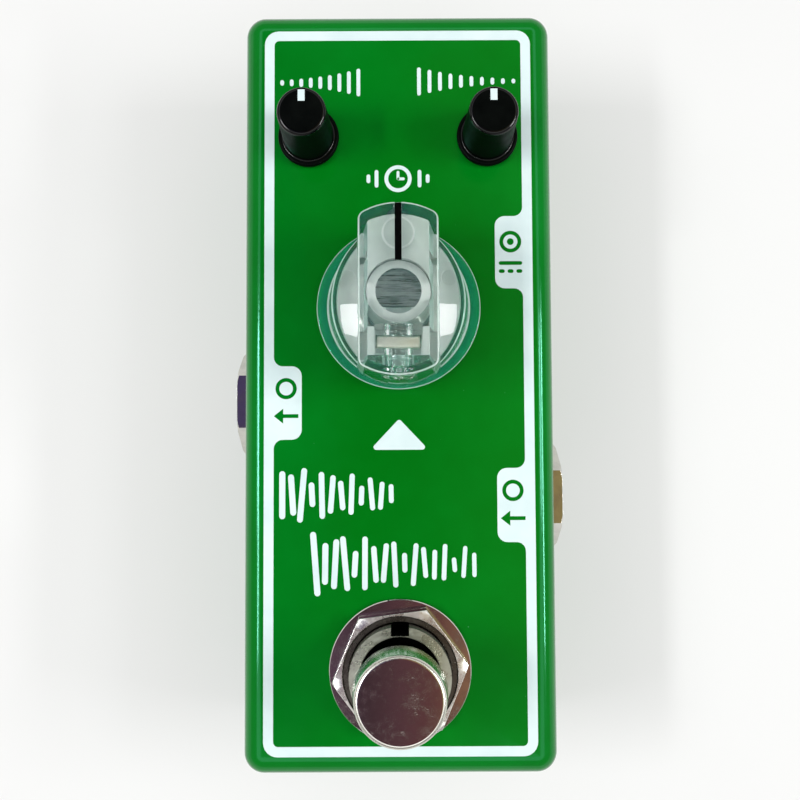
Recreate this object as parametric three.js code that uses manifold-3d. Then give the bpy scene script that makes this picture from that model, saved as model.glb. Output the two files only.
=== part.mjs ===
// A compact delay pedal: a cast box with three rotary controls, a footswitch,
// two side sockets for instrument leads and one socket for its supply.
// Millimetres, +Z up, +Y towards the controls' end, origin under the middle of the base.
import * as THREE from 'three';
import { mergeVertices } from 'three/addons/utils/BufferGeometryUtils.js';
import Module from 'manifold-3d';

const wasm = await Module();
wasm.setup();

// Cast case and its cover
const caseWidth = 38;
const caseLength = 93.5;
const caseHeight = 31;
const caseWall = 2;
const roofThickness = 2.2;
const caseCornerRadius = 2.5;
const roofEdgeRadius = 2.4;
const coverThickness = 1.5;
const postRadius = 3;
const postInset = 4;
const postHoleDepth = 12;

// Cover screws
const screwThreadRadius = 1.5;
const screwLength = 8;
const screwHeadRadius = 2.8;
const screwHeadHeight = 1.2;
const screwHeadSink = 0.1;
const screwCrossLength = 3;
const screwCrossWidth = 0.7;
const screwCrossDepth = 0.8;

// Circuit board and what is soldered to it
const boardThickness = 1.6;
const boardSideGap = 0.8;
const boardEndGap = 5.85;
const boardNearEndShare = 0.25;
const boardCornerRadius = 1;
const delayChipWidth = 7.5;
const delayChipLength = 12.8;
const delayChipHeight = 2.3;
const delayChipFromSide = 10.5;
const delayChipFromEnd = 9.3;
const mixerChipWidth = 4;
const mixerChipLength = 8.7;
const mixerChipHeight = 1.6;
const mixerChipFromSide = 12;
const mixerChipFromEnd = 7;
const chipLegPitch = 1.27;
const chipLegWidth = 0.5;
const chipLegReach = 1.2;
const chipLegHeight = 0.8;
const supplyCanRadius = 3.15;
const supplyCanHeight = 7.7;
const supplyCanFromSide = 9;
const supplyCanFromJack = 10.5;
const filterCanRadius = 2;
const filterCanHeight = 5.4;
const filterCanSideShare = 0.23529;
const filterCanFromChip = 9.2;
const canBaseHeight = 0.9;
const canBaseReach = 0.3;

// Small controls
const smallPotFromSide = 8.05;
const smallPotLengthShare = 0.32888;
const smallPotWidth = 9.6;
const smallPotLength = 10.6;
const potHeight = 6.2;
const potCornerCut = 1.2;
const potPocketDepth = 3.4;
const potLegWidth = 1;
const potLegThickness = 0.5;
const potLegPitch = 2.5;
const potLegRise = 3;
const smallShaftRadius = 2;
const smallShaftHoleRadius = 2.6;
const smallKnobHeight = 9.6;
const smallKnobFlangeRadius = 3.72;
const smallKnobFlangeHeight = 0.9;
const smallKnobFootRadius = 3.22;
const smallKnobNeckRadius = 2.82;
const smallKnobTopRadius = 2.5;
const smallKnobEdgeHeight = 0.45;
const smallKnobBoreDepth = 7;
const smallKnobLift = 0.35;
const smallPointerWidth = 0.85;
const smallPointerStart = 1.15;
const smallPointerDepth = 0.15;

// Time control
const timePotLengthShare = 0.1016;
const timePotWidth = 9.8;
const timePotLength = 10.6;
const timeBushingRadius = 3.5;
const timeBushingProud = 2.9;
const timeShaftRadius = 3;
const timeShaftTop = 12;
const timeShaftChamfer = 0.6;
const timeShaftFlat = 1.5;
const timeShaftFlatLength = 7.5;
const timeWasherRadius = 5.9;
const timeWasherThickness = 0.5;
const timeNutAcrossFlats = 10;
const timeNutThickness = 2;

// Clear bar knob
const knobLift = 0.5;
const knobFlangeRadius = 9.9;
const knobFlangeThickness = 1.1;
const knobShoulderReach = 8.65;
const knobShoulderTopReach = 7.8;
const knobShoulderHalfLength = 7.9;
const knobShoulderTop = 5.9;
const knobShoulderRise = 1.1;
const knobShoulderDomeRadius = 32;
const knobBarTop = 15.2;
const knobBarTopHalfWidth = 4.3;
const knobBarFootHalfWidth = 5.1;
const knobBarTopReach = 9.3;
const knobBarFootReach = 9.55;
const knobBarEndRadius = 8;
const knobWall = 1.1;
const knobTopWall = 2;
const knobPocketRadius = 6.7;
const knobPocketTop = 4.2;
const knobBossRadius = 3.5;
const knobBoreTop = 12.5;
const knobRibThickness = 0.8;
const knobRibFoot = 5;
const knobFrontRibY = 4.35;
const knobPointerWidth = 0.75;
const knobPointerStart = 3;
const knobPointerDepth = 0.3;
const frontMarkRadius = 1.8;
const frontMarkY = 6.2;
const frontMarkDepth = 0.15;
const sideMarkRadius = 0.9;
const sideMarkX = 5.75;
const sideMarkY = 2.7;
const sideMarkLength = 0.4;
const setScrewRadius = 1.5;
const setScrewLength = 5;
const setScrewHeight = 9.6;
const setScrewSocketRadius = 0.75;
const setScrewSocketDepth = 1.5;
const knobNutSize = 4.6;
const knobNutThickness = 1.25;
const knobNutFromAxis = 4.85;
const driverHoleRadius = 1;
const driverSleeveRadius = 1.7;

// Status light
const ledRadius = 1.5;
const ledFromShaft = 7.8;
const ledProud = 0.2;
const ledCollarRadius = 1.95;
const ledCollarHeight = 1;
const ledLegWidth = 0.5;
const ledLegPitch = 2.54;

// Instrument sockets
const jacksLengthShare = -0.08075;
const jackSpacing = 12.7;
const jackBodyLength = 24;
const jackBodyWidth = 11.6;
const jackBodyHeight = 12;
const jackBoreRadius = 3.3;
const jackThreadRadius = 4.5;
const jackThreadProud = 2.6;
const jackMouthChamfer = 0.4;
const jackWasherRadius = 6.6;
const jackWasherThickness = 0.4;
const jackNutAcrossFlats = 12;
const jackNutThickness = 2;
const jackSleeveContactDepth = 2;
const jackTipContactShare = 0.70833;
const contactThickness = 0.35;
const contactWidth = 2.6;
const contactLength = 6;
const contactDip = 0.8;
const contactAnchorRise = 0.6;

// Supply socket
const powerJackLengthShare = 0.17647;
const powerBodyLength = 12;
const powerBodyWidth = 9;
const powerBodyHeight = 11;
const powerCollarRadius = 4;
const powerCollarSink = 0.3;
const powerBoreRadius = 3.15;
const powerBoreDepth = 9.5;
const powerPinRadius = 1.05;
const powerPinSink = 1;
const powerContactDepth = 1;
const powerContactDip = 0.4;

// Footswitch
const switchLengthShare = -0.36417;
const switchBushingRadius = 6;
const switchBushingProud = 4.85;
const switchBoreRadius = 5.2;
const switchKeyWidth = 2.1;
const switchKeyDepth = 1.6;
const switchCanWidth = 15;
const switchCanLength = 13.5;
const switchCanHeight = 12.3;
const switchCanWall = 0.7;
const switchCanCornerRadius = 1;
const switchWasherRadius = 8.5;
const switchWasherThickness = 0.7;
const switchNutAcrossFlats = 14.1;
const switchNutThickness = 2;
const switchNutTurnDegrees = 7.2;
const switchNutChamferRadius = 6.85;
const switchNutChamferDepth = 0.6;
const switchBaseHeight = 3.6;
const switchBaseInset = 0.3;
const lugWidth = 2.4;
const lugThickness = 0.6;
const lugLength = 4;
const lugSpacing = 6;
const lugHoleRadius = 0.6;
const plungerRadius = 5.1;
const plungerProud = 15.65;
const plungerTopRadius = 4.6;
const plungerRimHeight = 0.5;
const plungerCapLength = 13.4;
const plungerTravel = 2.5;
const plungerStemRadius = 3;
const plungerGrooveRadius = 2.3;
const plungerTipLength = 0.9;
const plungerRodRadius = 1.2;
const plungerRodLength = 3;
const clipRadius = 4.4;
const clipThickness = 0.6;
const clipGapDegrees = 70;
const returnSpringWire = 0.5;
const returnSpringRadius = 3.7;
const returnSpringTurns = 5;
const switchWireRadius = 0.55;
const switchWireLandShare = 0.6;

// Clearances, cutting overrun and how finely round shapes are divided
const fitGap = 0.1;
const holeGap = 0.2;
const seatGap = 0.3;
const turnGap = 0.05;
const overrun = 1;
const mergeDistance = 1e-5;
const roundSides = 32;
const domeSides = 96;
const fineSides = 40;
const smallSides = 16;
const hexSides = 6;

// Heights and planes that several pieces share
const caseTop = caseHeight;
const roofUnderside = caseTop - roofThickness;
const potFoot = roofUnderside - potHeight;
const boardTop = potFoot;
const boardUnderside = boardTop - boardThickness;
const jackAxisZ = boardUnderside - jackBodyHeight / 2;
const powerAxisZ = boardUnderside - powerBodyHeight / 2;
const knobFoot = caseTop + knobLift;

// Places over the base: lengthwise ones follow the case's length, or a piece beside them
const smallPotX = caseWidth / 2 - smallPotFromSide;
const smallPotY = caseLength * smallPotLengthShare;
const timePotY = caseLength * timePotLengthShare;
const switchY = caseLength * switchLengthShare;
const powerJackY = caseLength * powerJackLengthShare;
const outputJackY = caseLength * jacksLengthShare + jackSpacing / 2;
const inputJackY = outputJackY - jackSpacing;
const switchCanFace = switchY + switchCanLength / 2;
const inputJackFace = inputJackY - jackBodyWidth / 2;
const boardWidth = caseWidth - 2 * caseWall - 2 * boardSideGap;
const boardFarEnd = caseLength / 2 - caseWall - boardEndGap;
const boardNearEnd = switchCanFace + (inputJackFace - switchCanFace) * boardNearEndShare;
const delayChipX = delayChipFromSide - caseWidth / 2;
const delayChipY = boardFarEnd - delayChipFromEnd;
const mixerChipX = caseWidth / 2 - mixerChipFromSide;
const mixerChipY = boardFarEnd - mixerChipFromEnd;
const supplyCanX = supplyCanFromSide - caseWidth / 2;
const supplyCanY = outputJackY + supplyCanFromJack;
const filterCanX = delayChipX * filterCanSideShare;
const filterCanY = delayChipY - filterCanFromChip;
const screwPlaces = [
  [1, 1],
  [-1, 1],
  [-1, -1],
  [1, -1],
].map(([sideX, sideY]) => [
  sideX * (caseWidth / 2 - postInset),
  sideY * (caseLength / 2 - postInset),
]);

// A closed three.js geometry as a solid that can be joined and cut
function solidOf(geometry) {
  const bare = geometry.index ? geometry.toNonIndexed() : geometry.clone();
  bare.deleteAttribute('normal');
  bare.deleteAttribute('uv');
  const merged = mergeVertices(bare, mergeDistance);
  const source = merged.index.array;
  const triangles = [];
  for (let i = 0; i < source.length; i += 3) {
    const corners = [source[i], source[i + 1], source[i + 2]];
    const isFace = new Set(corners).size === corners.length;
    if (isFace) triangles.push(...corners);
  }
  return new wasm.Manifold(new wasm.Mesh({
    numProp: 3,
    vertProperties: new Float32Array(merged.attributes.position.array),
    triVerts: new Uint32Array(triangles),
  }));
}

function geometryOf(solid) {
  const mesh = solid.getMesh();
  const geometry = new THREE.BufferGeometry();
  geometry.setAttribute('position', new THREE.BufferAttribute(mesh.vertProperties, mesh.numProp));
  geometry.setIndex(new THREE.BufferAttribute(mesh.triVerts, 1));
  geometry.computeVertexNormals();
  return geometry;
}

function joined(...solids) {
  return solids.reduce((whole, solid) => whole.add(solid));
}

function cut(solid, ...cutters) {
  return cutters.reduce((rest, cutter) => rest.subtract(cutter), solid);
}

function block(x0, x1, y0, y1, z0, z1) {
  const geometry = new THREE.BoxGeometry(x1 - x0, y1 - y0, z1 - z0);
  geometry.translate((x0 + x1) / 2, (y0 + y1) / 2, (z0 + z1) / 2);
  return solidOf(geometry);
}

// A rod, or a cone when it has two radii, standing along Z
function rodZ(radii, z0, z1, x = 0, y = 0, sides = roundSides) {
  const [low, high] = [radii].flat().length === 2 ? radii : [radii, radii];
  const geometry = new THREE.CylinderGeometry(high, low, z1 - z0, sides);
  geometry.rotateX(Math.PI / 2);
  geometry.translate(x, y, (z0 + z1) / 2);
  return solidOf(geometry);
}

function rodX(radii, x0, x1, y = 0, z = 0, sides = roundSides) {
  const [start, end] = [radii].flat().length === 2 ? radii : [radii, radii];
  const geometry = new THREE.CylinderGeometry(end, start, x1 - x0, sides);
  geometry.rotateZ(-Math.PI / 2);
  geometry.translate((x0 + x1) / 2, y, z);
  return solidOf(geometry);
}

function rodY(radius, y0, y1, x = 0, z = 0, sides = roundSides) {
  const geometry = new THREE.CylinderGeometry(radius, radius, y1 - y0, sides);
  geometry.translate(x, (y0 + y1) / 2, z);
  return solidOf(geometry);
}

// A profile of [radius, height] pairs, from the axis round to the axis, turned about Z
function turned(profile, sides = roundSides) {
  const points = profile.map(([radius, height]) => new THREE.Vector2(radius, height));
  const geometry = new THREE.LatheGeometry(points, sides);
  geometry.rotateX(Math.PI / 2);
  return solidOf(geometry);
}

// Straight prism of a shape between two heights
function slab(shape, z0, z1, curveSegments = smallSides) {
  const geometry = new THREE.ExtrudeGeometry(shape, {
    depth: z1 - z0,
    bevelEnabled: false,
    curveSegments,
  });
  geometry.translate(0, 0, z0);
  return solidOf(geometry);
}

// Loft between two outlines that have the same number of points
function loft(lower, upper, z0, z1) {
  const count = lower.length;
  const positions = [];
  for (const point of lower) positions.push(point.x, point.y, z0);
  for (const point of upper) positions.push(point.x, point.y, z1);
  const index = [];
  for (const [a, b, c] of THREE.ShapeUtils.triangulateShape(lower, [])) {
    index.push(c, b, a, a + count, b + count, c + count);
  }
  for (let i = 0; i < count; i += 1) {
    const next = (i + 1) % count;
    index.push(i, next, next + count, i, next + count, i + count);
  }
  const geometry = new THREE.BufferGeometry();
  geometry.setAttribute('position', new THREE.Float32BufferAttribute(positions, 3));
  geometry.setIndex(index);
  return solidOf(geometry);
}

function roundedRectangle(width, length, radius) {
  const halfX = width / 2;
  const halfY = length / 2;
  const shape = new THREE.Shape();
  shape.moveTo(halfX, -halfY + radius);
  shape.absarc(halfX - radius, halfY - radius, radius, 0, Math.PI / 2);
  shape.absarc(-halfX + radius, halfY - radius, radius, Math.PI / 2, Math.PI);
  shape.absarc(-halfX + radius, -halfY + radius, radius, Math.PI, Math.PI * 1.5);
  shape.absarc(halfX - radius, -halfY + radius, radius, Math.PI * 1.5, Math.PI * 2);
  return shape;
}

// Hexagon prism along Z with two flats facing X, its corners taken off at the upper face
function hexagonNut(acrossFlats, z0, z1, boreRadius, x = 0, y = 0) {
  const cornerRadius = acrossFlats / 2 / Math.cos(Math.PI / hexSides);
  const body = rodZ(cornerRadius, z0, z1, x, y, hexSides);
  const cornerCut = (cornerRadius - acrossFlats / 2) / 2;
  const crown = rodZ([cornerRadius + z1 - z0, cornerRadius - cornerCut], z0, z1, x, y, fineSides);
  const bore = rodZ(boreRadius, z0 - overrun, z1 + overrun, x, y);
  return cut(body.intersect(crown), bore);
}

function ring(outerRadius, innerRadius, z0, z1, sides = roundSides) {
  return cut(rodZ(outerRadius, z0, z1, 0, 0, sides), rodZ(innerRadius, z0 - overrun, z1 + overrun, 0, 0, sides));
}

const finishes = {
  greenPaint: { color: 0x00791c, roughness: 0.2, metalness: 0 },
  castAluminium: { color: 0xb4b6b8, roughness: 0.45, metalness: 1 },
  zincSteel: { color: 0xb9bcc0, roughness: 0.35, metalness: 1 },
  nickel: { color: 0xc9c5bc, roughness: 0.12, metalness: 1 },
  brass: { color: 0xc9b06a, roughness: 0.3, metalness: 1 },
  blackPlastic: { color: 0x0b0b0c, roughness: 0.25, metalness: 0 },
  greyPlastic: { color: 0x3b3d40, roughness: 0.5, metalness: 0 },
  clearPlastic: { color: 0xe6f2ee, roughness: 0.05, metalness: 0 },
  clearLight: { color: 0xeef4f6, roughness: 0.1, metalness: 0 },
  boardGreen: { color: 0x11532c, roughness: 0.4, metalness: 0 },
  chipBlack: { color: 0x17181a, roughness: 0.55, metalness: 0 },
  wireRed: { color: 0xa41c1c, roughness: 0.5, metalness: 0 },
  wireBlack: { color: 0x101010, roughness: 0.5, metalness: 0 },
};

const pedal = new THREE.Group();

function addPiece(parent, name, solid, finish) {
  const material = new THREE.MeshStandardMaterial(finishes[finish]);
  const mesh = new THREE.Mesh(geometryOf(solid), material);
  mesh.name = name;
  parent.add(mesh);
  return mesh;
}

// Case: rounded box with a rolled roof edge, open below, with four screw posts
function caseOuter() {
  const geometry = new THREE.ExtrudeGeometry(
    roundedRectangle(caseWidth, caseLength, caseCornerRadius),
    {
      depth: caseHeight,
      bevelEnabled: true,
      bevelThickness: roofEdgeRadius,
      bevelSize: roofEdgeRadius,
      bevelOffset: -roofEdgeRadius,
      bevelSegments: 5,
      curveSegments: 6,
    },
  );
  geometry.translate(0, 0, -roofEdgeRadius);
  const keep = block(-caseWidth, caseWidth, -caseLength, caseLength, coverThickness, caseTop + overrun);
  return solidOf(geometry).intersect(keep);
}

function caseShell() {
  const cavity = slab(
    roundedRectangle(caseWidth - 2 * caseWall, caseLength - 2 * caseWall, caseCornerRadius / 2),
    coverThickness - overrun,
    roofUnderside,
    3,
  );
  const envelope = slab(
    roundedRectangle(caseWidth - caseWall, caseLength - caseWall, caseCornerRadius),
    coverThickness,
    caseTop - roofThickness / 2,
    3,
  );
  let shell = cut(caseOuter(), cavity);
  for (const [x, y] of screwPlaces) {
    const post = rodZ(postRadius, coverThickness, roofUnderside + overrun, x, y, smallSides);
    shell = shell.add(post.intersect(envelope));
  }
  for (const [x, y] of screwPlaces) {
    const holeRadius = screwThreadRadius + fitGap;
    const holeTop = coverThickness + postHoleDepth;
    shell = cut(shell, rodZ(holeRadius, coverThickness - overrun, holeTop, x, y, smallSides));
  }
  const through = [roofUnderside - overrun, caseTop + overrun];
  for (const side of [-1, 1]) {
    shell = cut(shell, rodZ(smallShaftHoleRadius, ...through, side * smallPotX, smallPotY));
  }
  shell = cut(
    shell,
    rodZ(timeBushingRadius + holeGap, ...through, 0, timePotY),
    rodZ(ledRadius + holeGap, ...through, 0, timePotY + ledFromShaft, smallSides),
    rodZ(switchBushingRadius + holeGap, ...through, 0, switchY),
    rodX(
      jackThreadRadius + holeGap,
      caseWidth / 2 - caseWall - overrun,
      caseWidth / 2 + overrun,
      inputJackY,
      jackAxisZ,
    ),
    rodX(
      jackThreadRadius + holeGap,
      -caseWidth / 2 - overrun,
      -caseWidth / 2 + caseWall + overrun,
      outputJackY,
      jackAxisZ,
    ),
    rodX(
      powerCollarRadius + holeGap,
      caseWidth / 2 - caseWall - overrun,
      caseWidth / 2 + overrun,
      powerJackY,
      powerAxisZ,
    ),
  );
  return shell;
}

function bottomCover() {
  let cover = slab(roundedRectangle(caseWidth, caseLength, caseCornerRadius), 0, coverThickness, 6);
  for (const [x, y] of screwPlaces) {
    const seat = [screwHeadRadius + holeGap + screwHeadSink, screwThreadRadius + holeGap];
    cover = cut(
      cover,
      rodZ(screwThreadRadius + holeGap, -overrun, coverThickness + overrun, x, y, smallSides),
      rodZ(seat, 0, screwHeadSink + screwHeadHeight + holeGap, x, y, smallSides),
      rodZ(seat[0], -overrun, 0, x, y, smallSides),
    );
  }
  return cover;
}

// Countersunk screw, head down, with a cross recess
function coverScrew() {
  const headTop = screwHeadSink + screwHeadHeight;
  const screw = joined(
    rodZ([screwHeadRadius, screwThreadRadius], screwHeadSink, headTop, 0, 0, smallSides),
    rodZ(screwThreadRadius, headTop, screwHeadSink + screwLength, 0, 0, smallSides),
  );
  const halfLong = screwCrossLength / 2;
  const halfWide = screwCrossWidth / 2;
  const recessTop = screwHeadSink + screwCrossDepth;
  return cut(
    screw,
    block(-halfLong, halfLong, -halfWide, halfWide, -overrun, recessTop),
    block(-halfWide, halfWide, -halfLong, halfLong, -overrun, recessTop),
  );
}

function buildCase() {
  addPiece(pedal, 'case_shell', caseShell(), 'greenPaint');
  addPiece(pedal, 'bottom_cover', bottomCover(), 'greenPaint');
  screwPlaces.forEach(([x, y], i) => {
    const screw = addPiece(pedal, `cover_screw_${i + 1}`, coverScrew(), 'zincSteel');
    screw.position.set(x, y, 0);
  });
}

// Circuit board, chips and capacitors that hang under it
function mainBoard() {
  const length = boardFarEnd - boardNearEnd;
  const geometry = new THREE.ExtrudeGeometry(
    roundedRectangle(boardWidth, length, boardCornerRadius),
    { depth: boardThickness, bevelEnabled: false, curveSegments: 3 },
  );
  geometry.translate(0, (boardFarEnd + boardNearEnd) / 2, boardUnderside);
  return solidOf(geometry);
}

function chip(width, length, height, pairs) {
  const halfX = width / 2;
  let body = block(-halfX, halfX, -length / 2, length / 2, -height, -contactThickness);
  for (let i = 0; i < pairs; i += 1) {
    const y = (i - (pairs - 1) / 2) * chipLegPitch;
    const legs = block(
      -halfX - chipLegReach,
      halfX + chipLegReach,
      y - chipLegWidth / 2,
      y + chipLegWidth / 2,
      -chipLegHeight,
      0,
    );
    body = body.add(legs);
  }
  return body;
}

function capacitorCan(radius, height) {
  const base = radius + canBaseReach;
  return joined(
    block(-base, base, -base, base, -canBaseHeight, 0),
    rodZ(radius, -height, -canBaseHeight / 2, 0, 0, smallSides),
  );
}

function buildBoard() {
  addPiece(pedal, 'main_board', mainBoard(), 'boardGreen');
  const parts = [
    ['delay_chip', chip(delayChipWidth, delayChipLength, delayChipHeight, 8), delayChipX, delayChipY],
    ['mixer_chip', chip(mixerChipWidth, mixerChipLength, mixerChipHeight, 6), mixerChipX, mixerChipY],
    ['supply_capacitor', capacitorCan(supplyCanRadius, supplyCanHeight), supplyCanX, supplyCanY],
    ['filter_capacitor', capacitorCan(filterCanRadius, filterCanHeight), filterCanX, filterCanY],
  ];
  for (const [name, solid, x, y] of parts) {
    const finish = name.endsWith('chip') ? 'chipBlack' : 'castAluminium';
    addPiece(pedal, name, solid, finish).position.set(x, y, boardUnderside);
  }
}

// Potentiometer housing standing on the board, with three legs and a pocket for its shaft
function potHousing(width, length, shaftRadius) {
  const halfX = width / 2;
  const halfY = length / 2;
  const outline = new THREE.Shape([
    new THREE.Vector2(halfX - potCornerCut, -halfY),
    new THREE.Vector2(halfX, -halfY + potCornerCut),
    new THREE.Vector2(halfX, halfY - potCornerCut),
    new THREE.Vector2(halfX - potCornerCut, halfY),
    new THREE.Vector2(-halfX + potCornerCut, halfY),
    new THREE.Vector2(-halfX, halfY - potCornerCut),
    new THREE.Vector2(-halfX, -halfY + potCornerCut),
    new THREE.Vector2(-halfX + potCornerCut, -halfY),
  ]);
  let housing = slab(outline, potFoot, roofUnderside);
  for (const place of [-1, 0, 1]) {
    const x = place * potLegPitch;
    housing = housing.add(block(
      x - potLegWidth / 2,
      x + potLegWidth / 2,
      -halfY - potLegThickness,
      -halfY + potLegThickness,
      potFoot,
      potFoot + potLegRise,
    ));
  }
  const pocket = rodZ(shaftRadius + turnGap, roofUnderside - potPocketDepth, roofUnderside + overrun);
  return cut(housing, pocket);
}

const shaftFoot = roofUnderside - potPocketDepth + seatGap;

// Push-on knob: a thin foot flange, a tapering body, a rounded edge and a grooved flat top
function smallKnob() {
  const rim = smallKnobFlangeHeight / 3;
  const knob = turned([
    [0, 0],
    [smallKnobFlangeRadius - rim / 2, 0],
    [smallKnobFlangeRadius, rim],
    [smallKnobFlangeRadius, smallKnobFlangeHeight - rim],
    [smallKnobFlangeRadius - rim / 2, smallKnobFlangeHeight],
    [smallKnobFootRadius, smallKnobFlangeHeight],
    [smallKnobNeckRadius, smallKnobHeight - smallKnobEdgeHeight],
    [(smallKnobNeckRadius + smallKnobTopRadius * 2) / 3, smallKnobHeight - smallKnobEdgeHeight / 4],
    [smallKnobTopRadius, smallKnobHeight],
    [0, smallKnobHeight],
  ]);
  const groove = block(
    -smallPointerWidth / 2,
    smallPointerWidth / 2,
    smallPointerStart,
    smallKnobNeckRadius + overrun,
    smallKnobHeight - smallPointerDepth,
    smallKnobHeight + overrun,
  );
  const bore = rodZ(smallShaftRadius + turnGap, -overrun, smallKnobBoreDepth);
  return cut(knob, groove, bore);
}

function buildSmallControls() {
  for (const [name, side] of [['level', -1], ['repeat', 1]]) {
    const control = new THREE.Group();
    control.position.set(side * smallPotX, smallPotY, 0);
    const housing = potHousing(smallPotWidth, smallPotLength, smallShaftRadius);
    addPiece(control, `${name}_pot_body`, housing, 'greyPlastic');
    const knobBottom = caseTop + smallKnobLift;
    const shaftTop = knobBottom + smallKnobBoreDepth - seatGap;
    addPiece(control, `${name}_pot_shaft`, rodZ(smallShaftRadius, shaftFoot, shaftTop), 'greyPlastic');
    addPiece(control, `${name}_knob`, smallKnob(), 'blackPlastic').position.z = knobBottom;
    pedal.add(control);
  }
}

// Time control: a potentiometer with a threaded bushing through the roof, its washer and nut
function timePotBody() {
  const bushingTop = caseTop + timeBushingProud;
  const bushing = rodZ(timeBushingRadius, roofUnderside - overrun, bushingTop);
  const bore = rodZ(timeShaftRadius + turnGap, roofUnderside - potPocketDepth, bushingTop + overrun);
  return cut(joined(potHousing(timePotWidth, timePotLength, timeShaftRadius), bushing), bore);
}

function timeShaft() {
  const top = caseTop + timeShaftTop;
  const straightTop = top - timeShaftChamfer;
  const shaft = joined(
    rodZ(timeShaftRadius, shaftFoot, straightTop),
    rodZ([timeShaftRadius, timeShaftRadius - timeShaftChamfer], straightTop, top),
  );
  const reach = timeShaftRadius + overrun;
  return cut(shaft, block(-reach, reach, -reach, -timeShaftFlat, top - timeShaftFlatLength, top + overrun));
}

// Outline of the bar: straight flanks and arcs at both ends, counter-clockwise
function barOutline(halfWidth, reach, endRadius, steps = 10) {
  const radius = Math.max(endRadius, halfWidth);
  const centre = reach - radius;
  const spread = Math.asin(halfWidth / radius);
  const points = [];
  for (const end of [1, -1]) {
    for (let i = 0; i <= steps; i += 1) {
      const angle = spread - (2 * spread * i) / steps;
      points.push(new THREE.Vector2(
        end * radius * Math.sin(angle),
        end * (centre + radius * Math.cos(angle)),
      ));
    }
  }
  return points;
}

// Outline of the shoulders: two shallow arcs that swell past the bar's flanks
function shoulderOutline(reach, halfLength, flank, steps = 14) {
  const rise = reach - flank;
  const radius = (halfLength * halfLength + rise * rise) / (2 * rise);
  const spread = Math.asin(halfLength / radius);
  const points = [];
  for (const side of [1, -1]) {
    for (let i = 0; i <= steps; i += 1) {
      const angle = -spread + (2 * spread * i) / steps;
      points.push(new THREE.Vector2(
        side * (reach - radius + radius * Math.cos(angle)),
        side * radius * Math.sin(angle),
      ));
    }
  }
  return points;
}

// How far the drafted bar has narrowed at a height above the knob's foot
function barHalfWidthAt(height) {
  const share = height / knobBarTop;
  return knobBarFootHalfWidth + (knobBarTopHalfWidth - knobBarFootHalfWidth) * share;
}

function barReachAt(height) {
  return knobBarFootReach + (knobBarTopReach - knobBarFootReach) * (height / knobBarTop);
}

function barLayer(inset, z0, z1) {
  const outlineAt = (height) => barOutline(
    barHalfWidthAt(height) - inset,
    barReachAt(height) - inset,
    knobBarEndRadius,
  );
  return loft(outlineAt(z0), outlineAt(z1), z0, z1);
}

function shoulderLayer(inset, z0, z1) {
  const reachAt = (height) => {
    const share = height / knobShoulderTop;
    return knobShoulderReach + (knobShoulderTopReach - knobShoulderReach) * share - inset;
  };
  const flank = knobBarFootHalfWidth - knobWall;
  const halfLength = knobShoulderHalfLength - inset;
  return loft(
    shoulderOutline(reachAt(z0), halfLength, flank),
    shoulderOutline(reachAt(z1), halfLength, flank),
    z0,
    z1,
  );
}

// Height of the shoulders' sloping roof beside the bar, at a distance from the knob's middle
function shoulderRoofAt(x) {
  const slope = knobShoulderRise / (knobShoulderTopReach - knobBarTopHalfWidth);
  return knobShoulderTop + knobShoulderRise - slope * (x - knobBarTopHalfWidth);
}

// Space under the shoulders' roofs: each falls away from the bar and is domed along it
function underShoulderRoof(inset) {
  const tilt = Math.atan2(knobShoulderRise, knobShoulderTopReach - knobBarTopHalfWidth);
  const radius = knobShoulderDomeRadius;
  const [left, right] = [-1, 1].map((side) => {
    const geometry = new THREE.CylinderGeometry(radius, radius, 4 * knobFlangeRadius, domeSides);
    geometry.rotateZ(Math.PI / 2);
    geometry.translate(0, 0, -radius);
    geometry.rotateY(side * tilt);
    geometry.translate(side * knobBarTopHalfWidth, 0, knobShoulderTop + knobShoulderRise - inset);
    return solidOf(geometry);
  });
  return left.intersect(right);
}

// Round bore with one flat towards the set screw
function shaftBore() {
  const radius = timeShaftRadius + turnGap;
  const flat = timeShaftFlat + fitGap;
  const round = rodZ(radius, -overrun, knobBoreTop);
  const key = block(-radius, radius, -radius - overrun, -flat, knobPocketTop + overrun, knobBoreTop + overrun);
  return cut(round, key);
}

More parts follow.
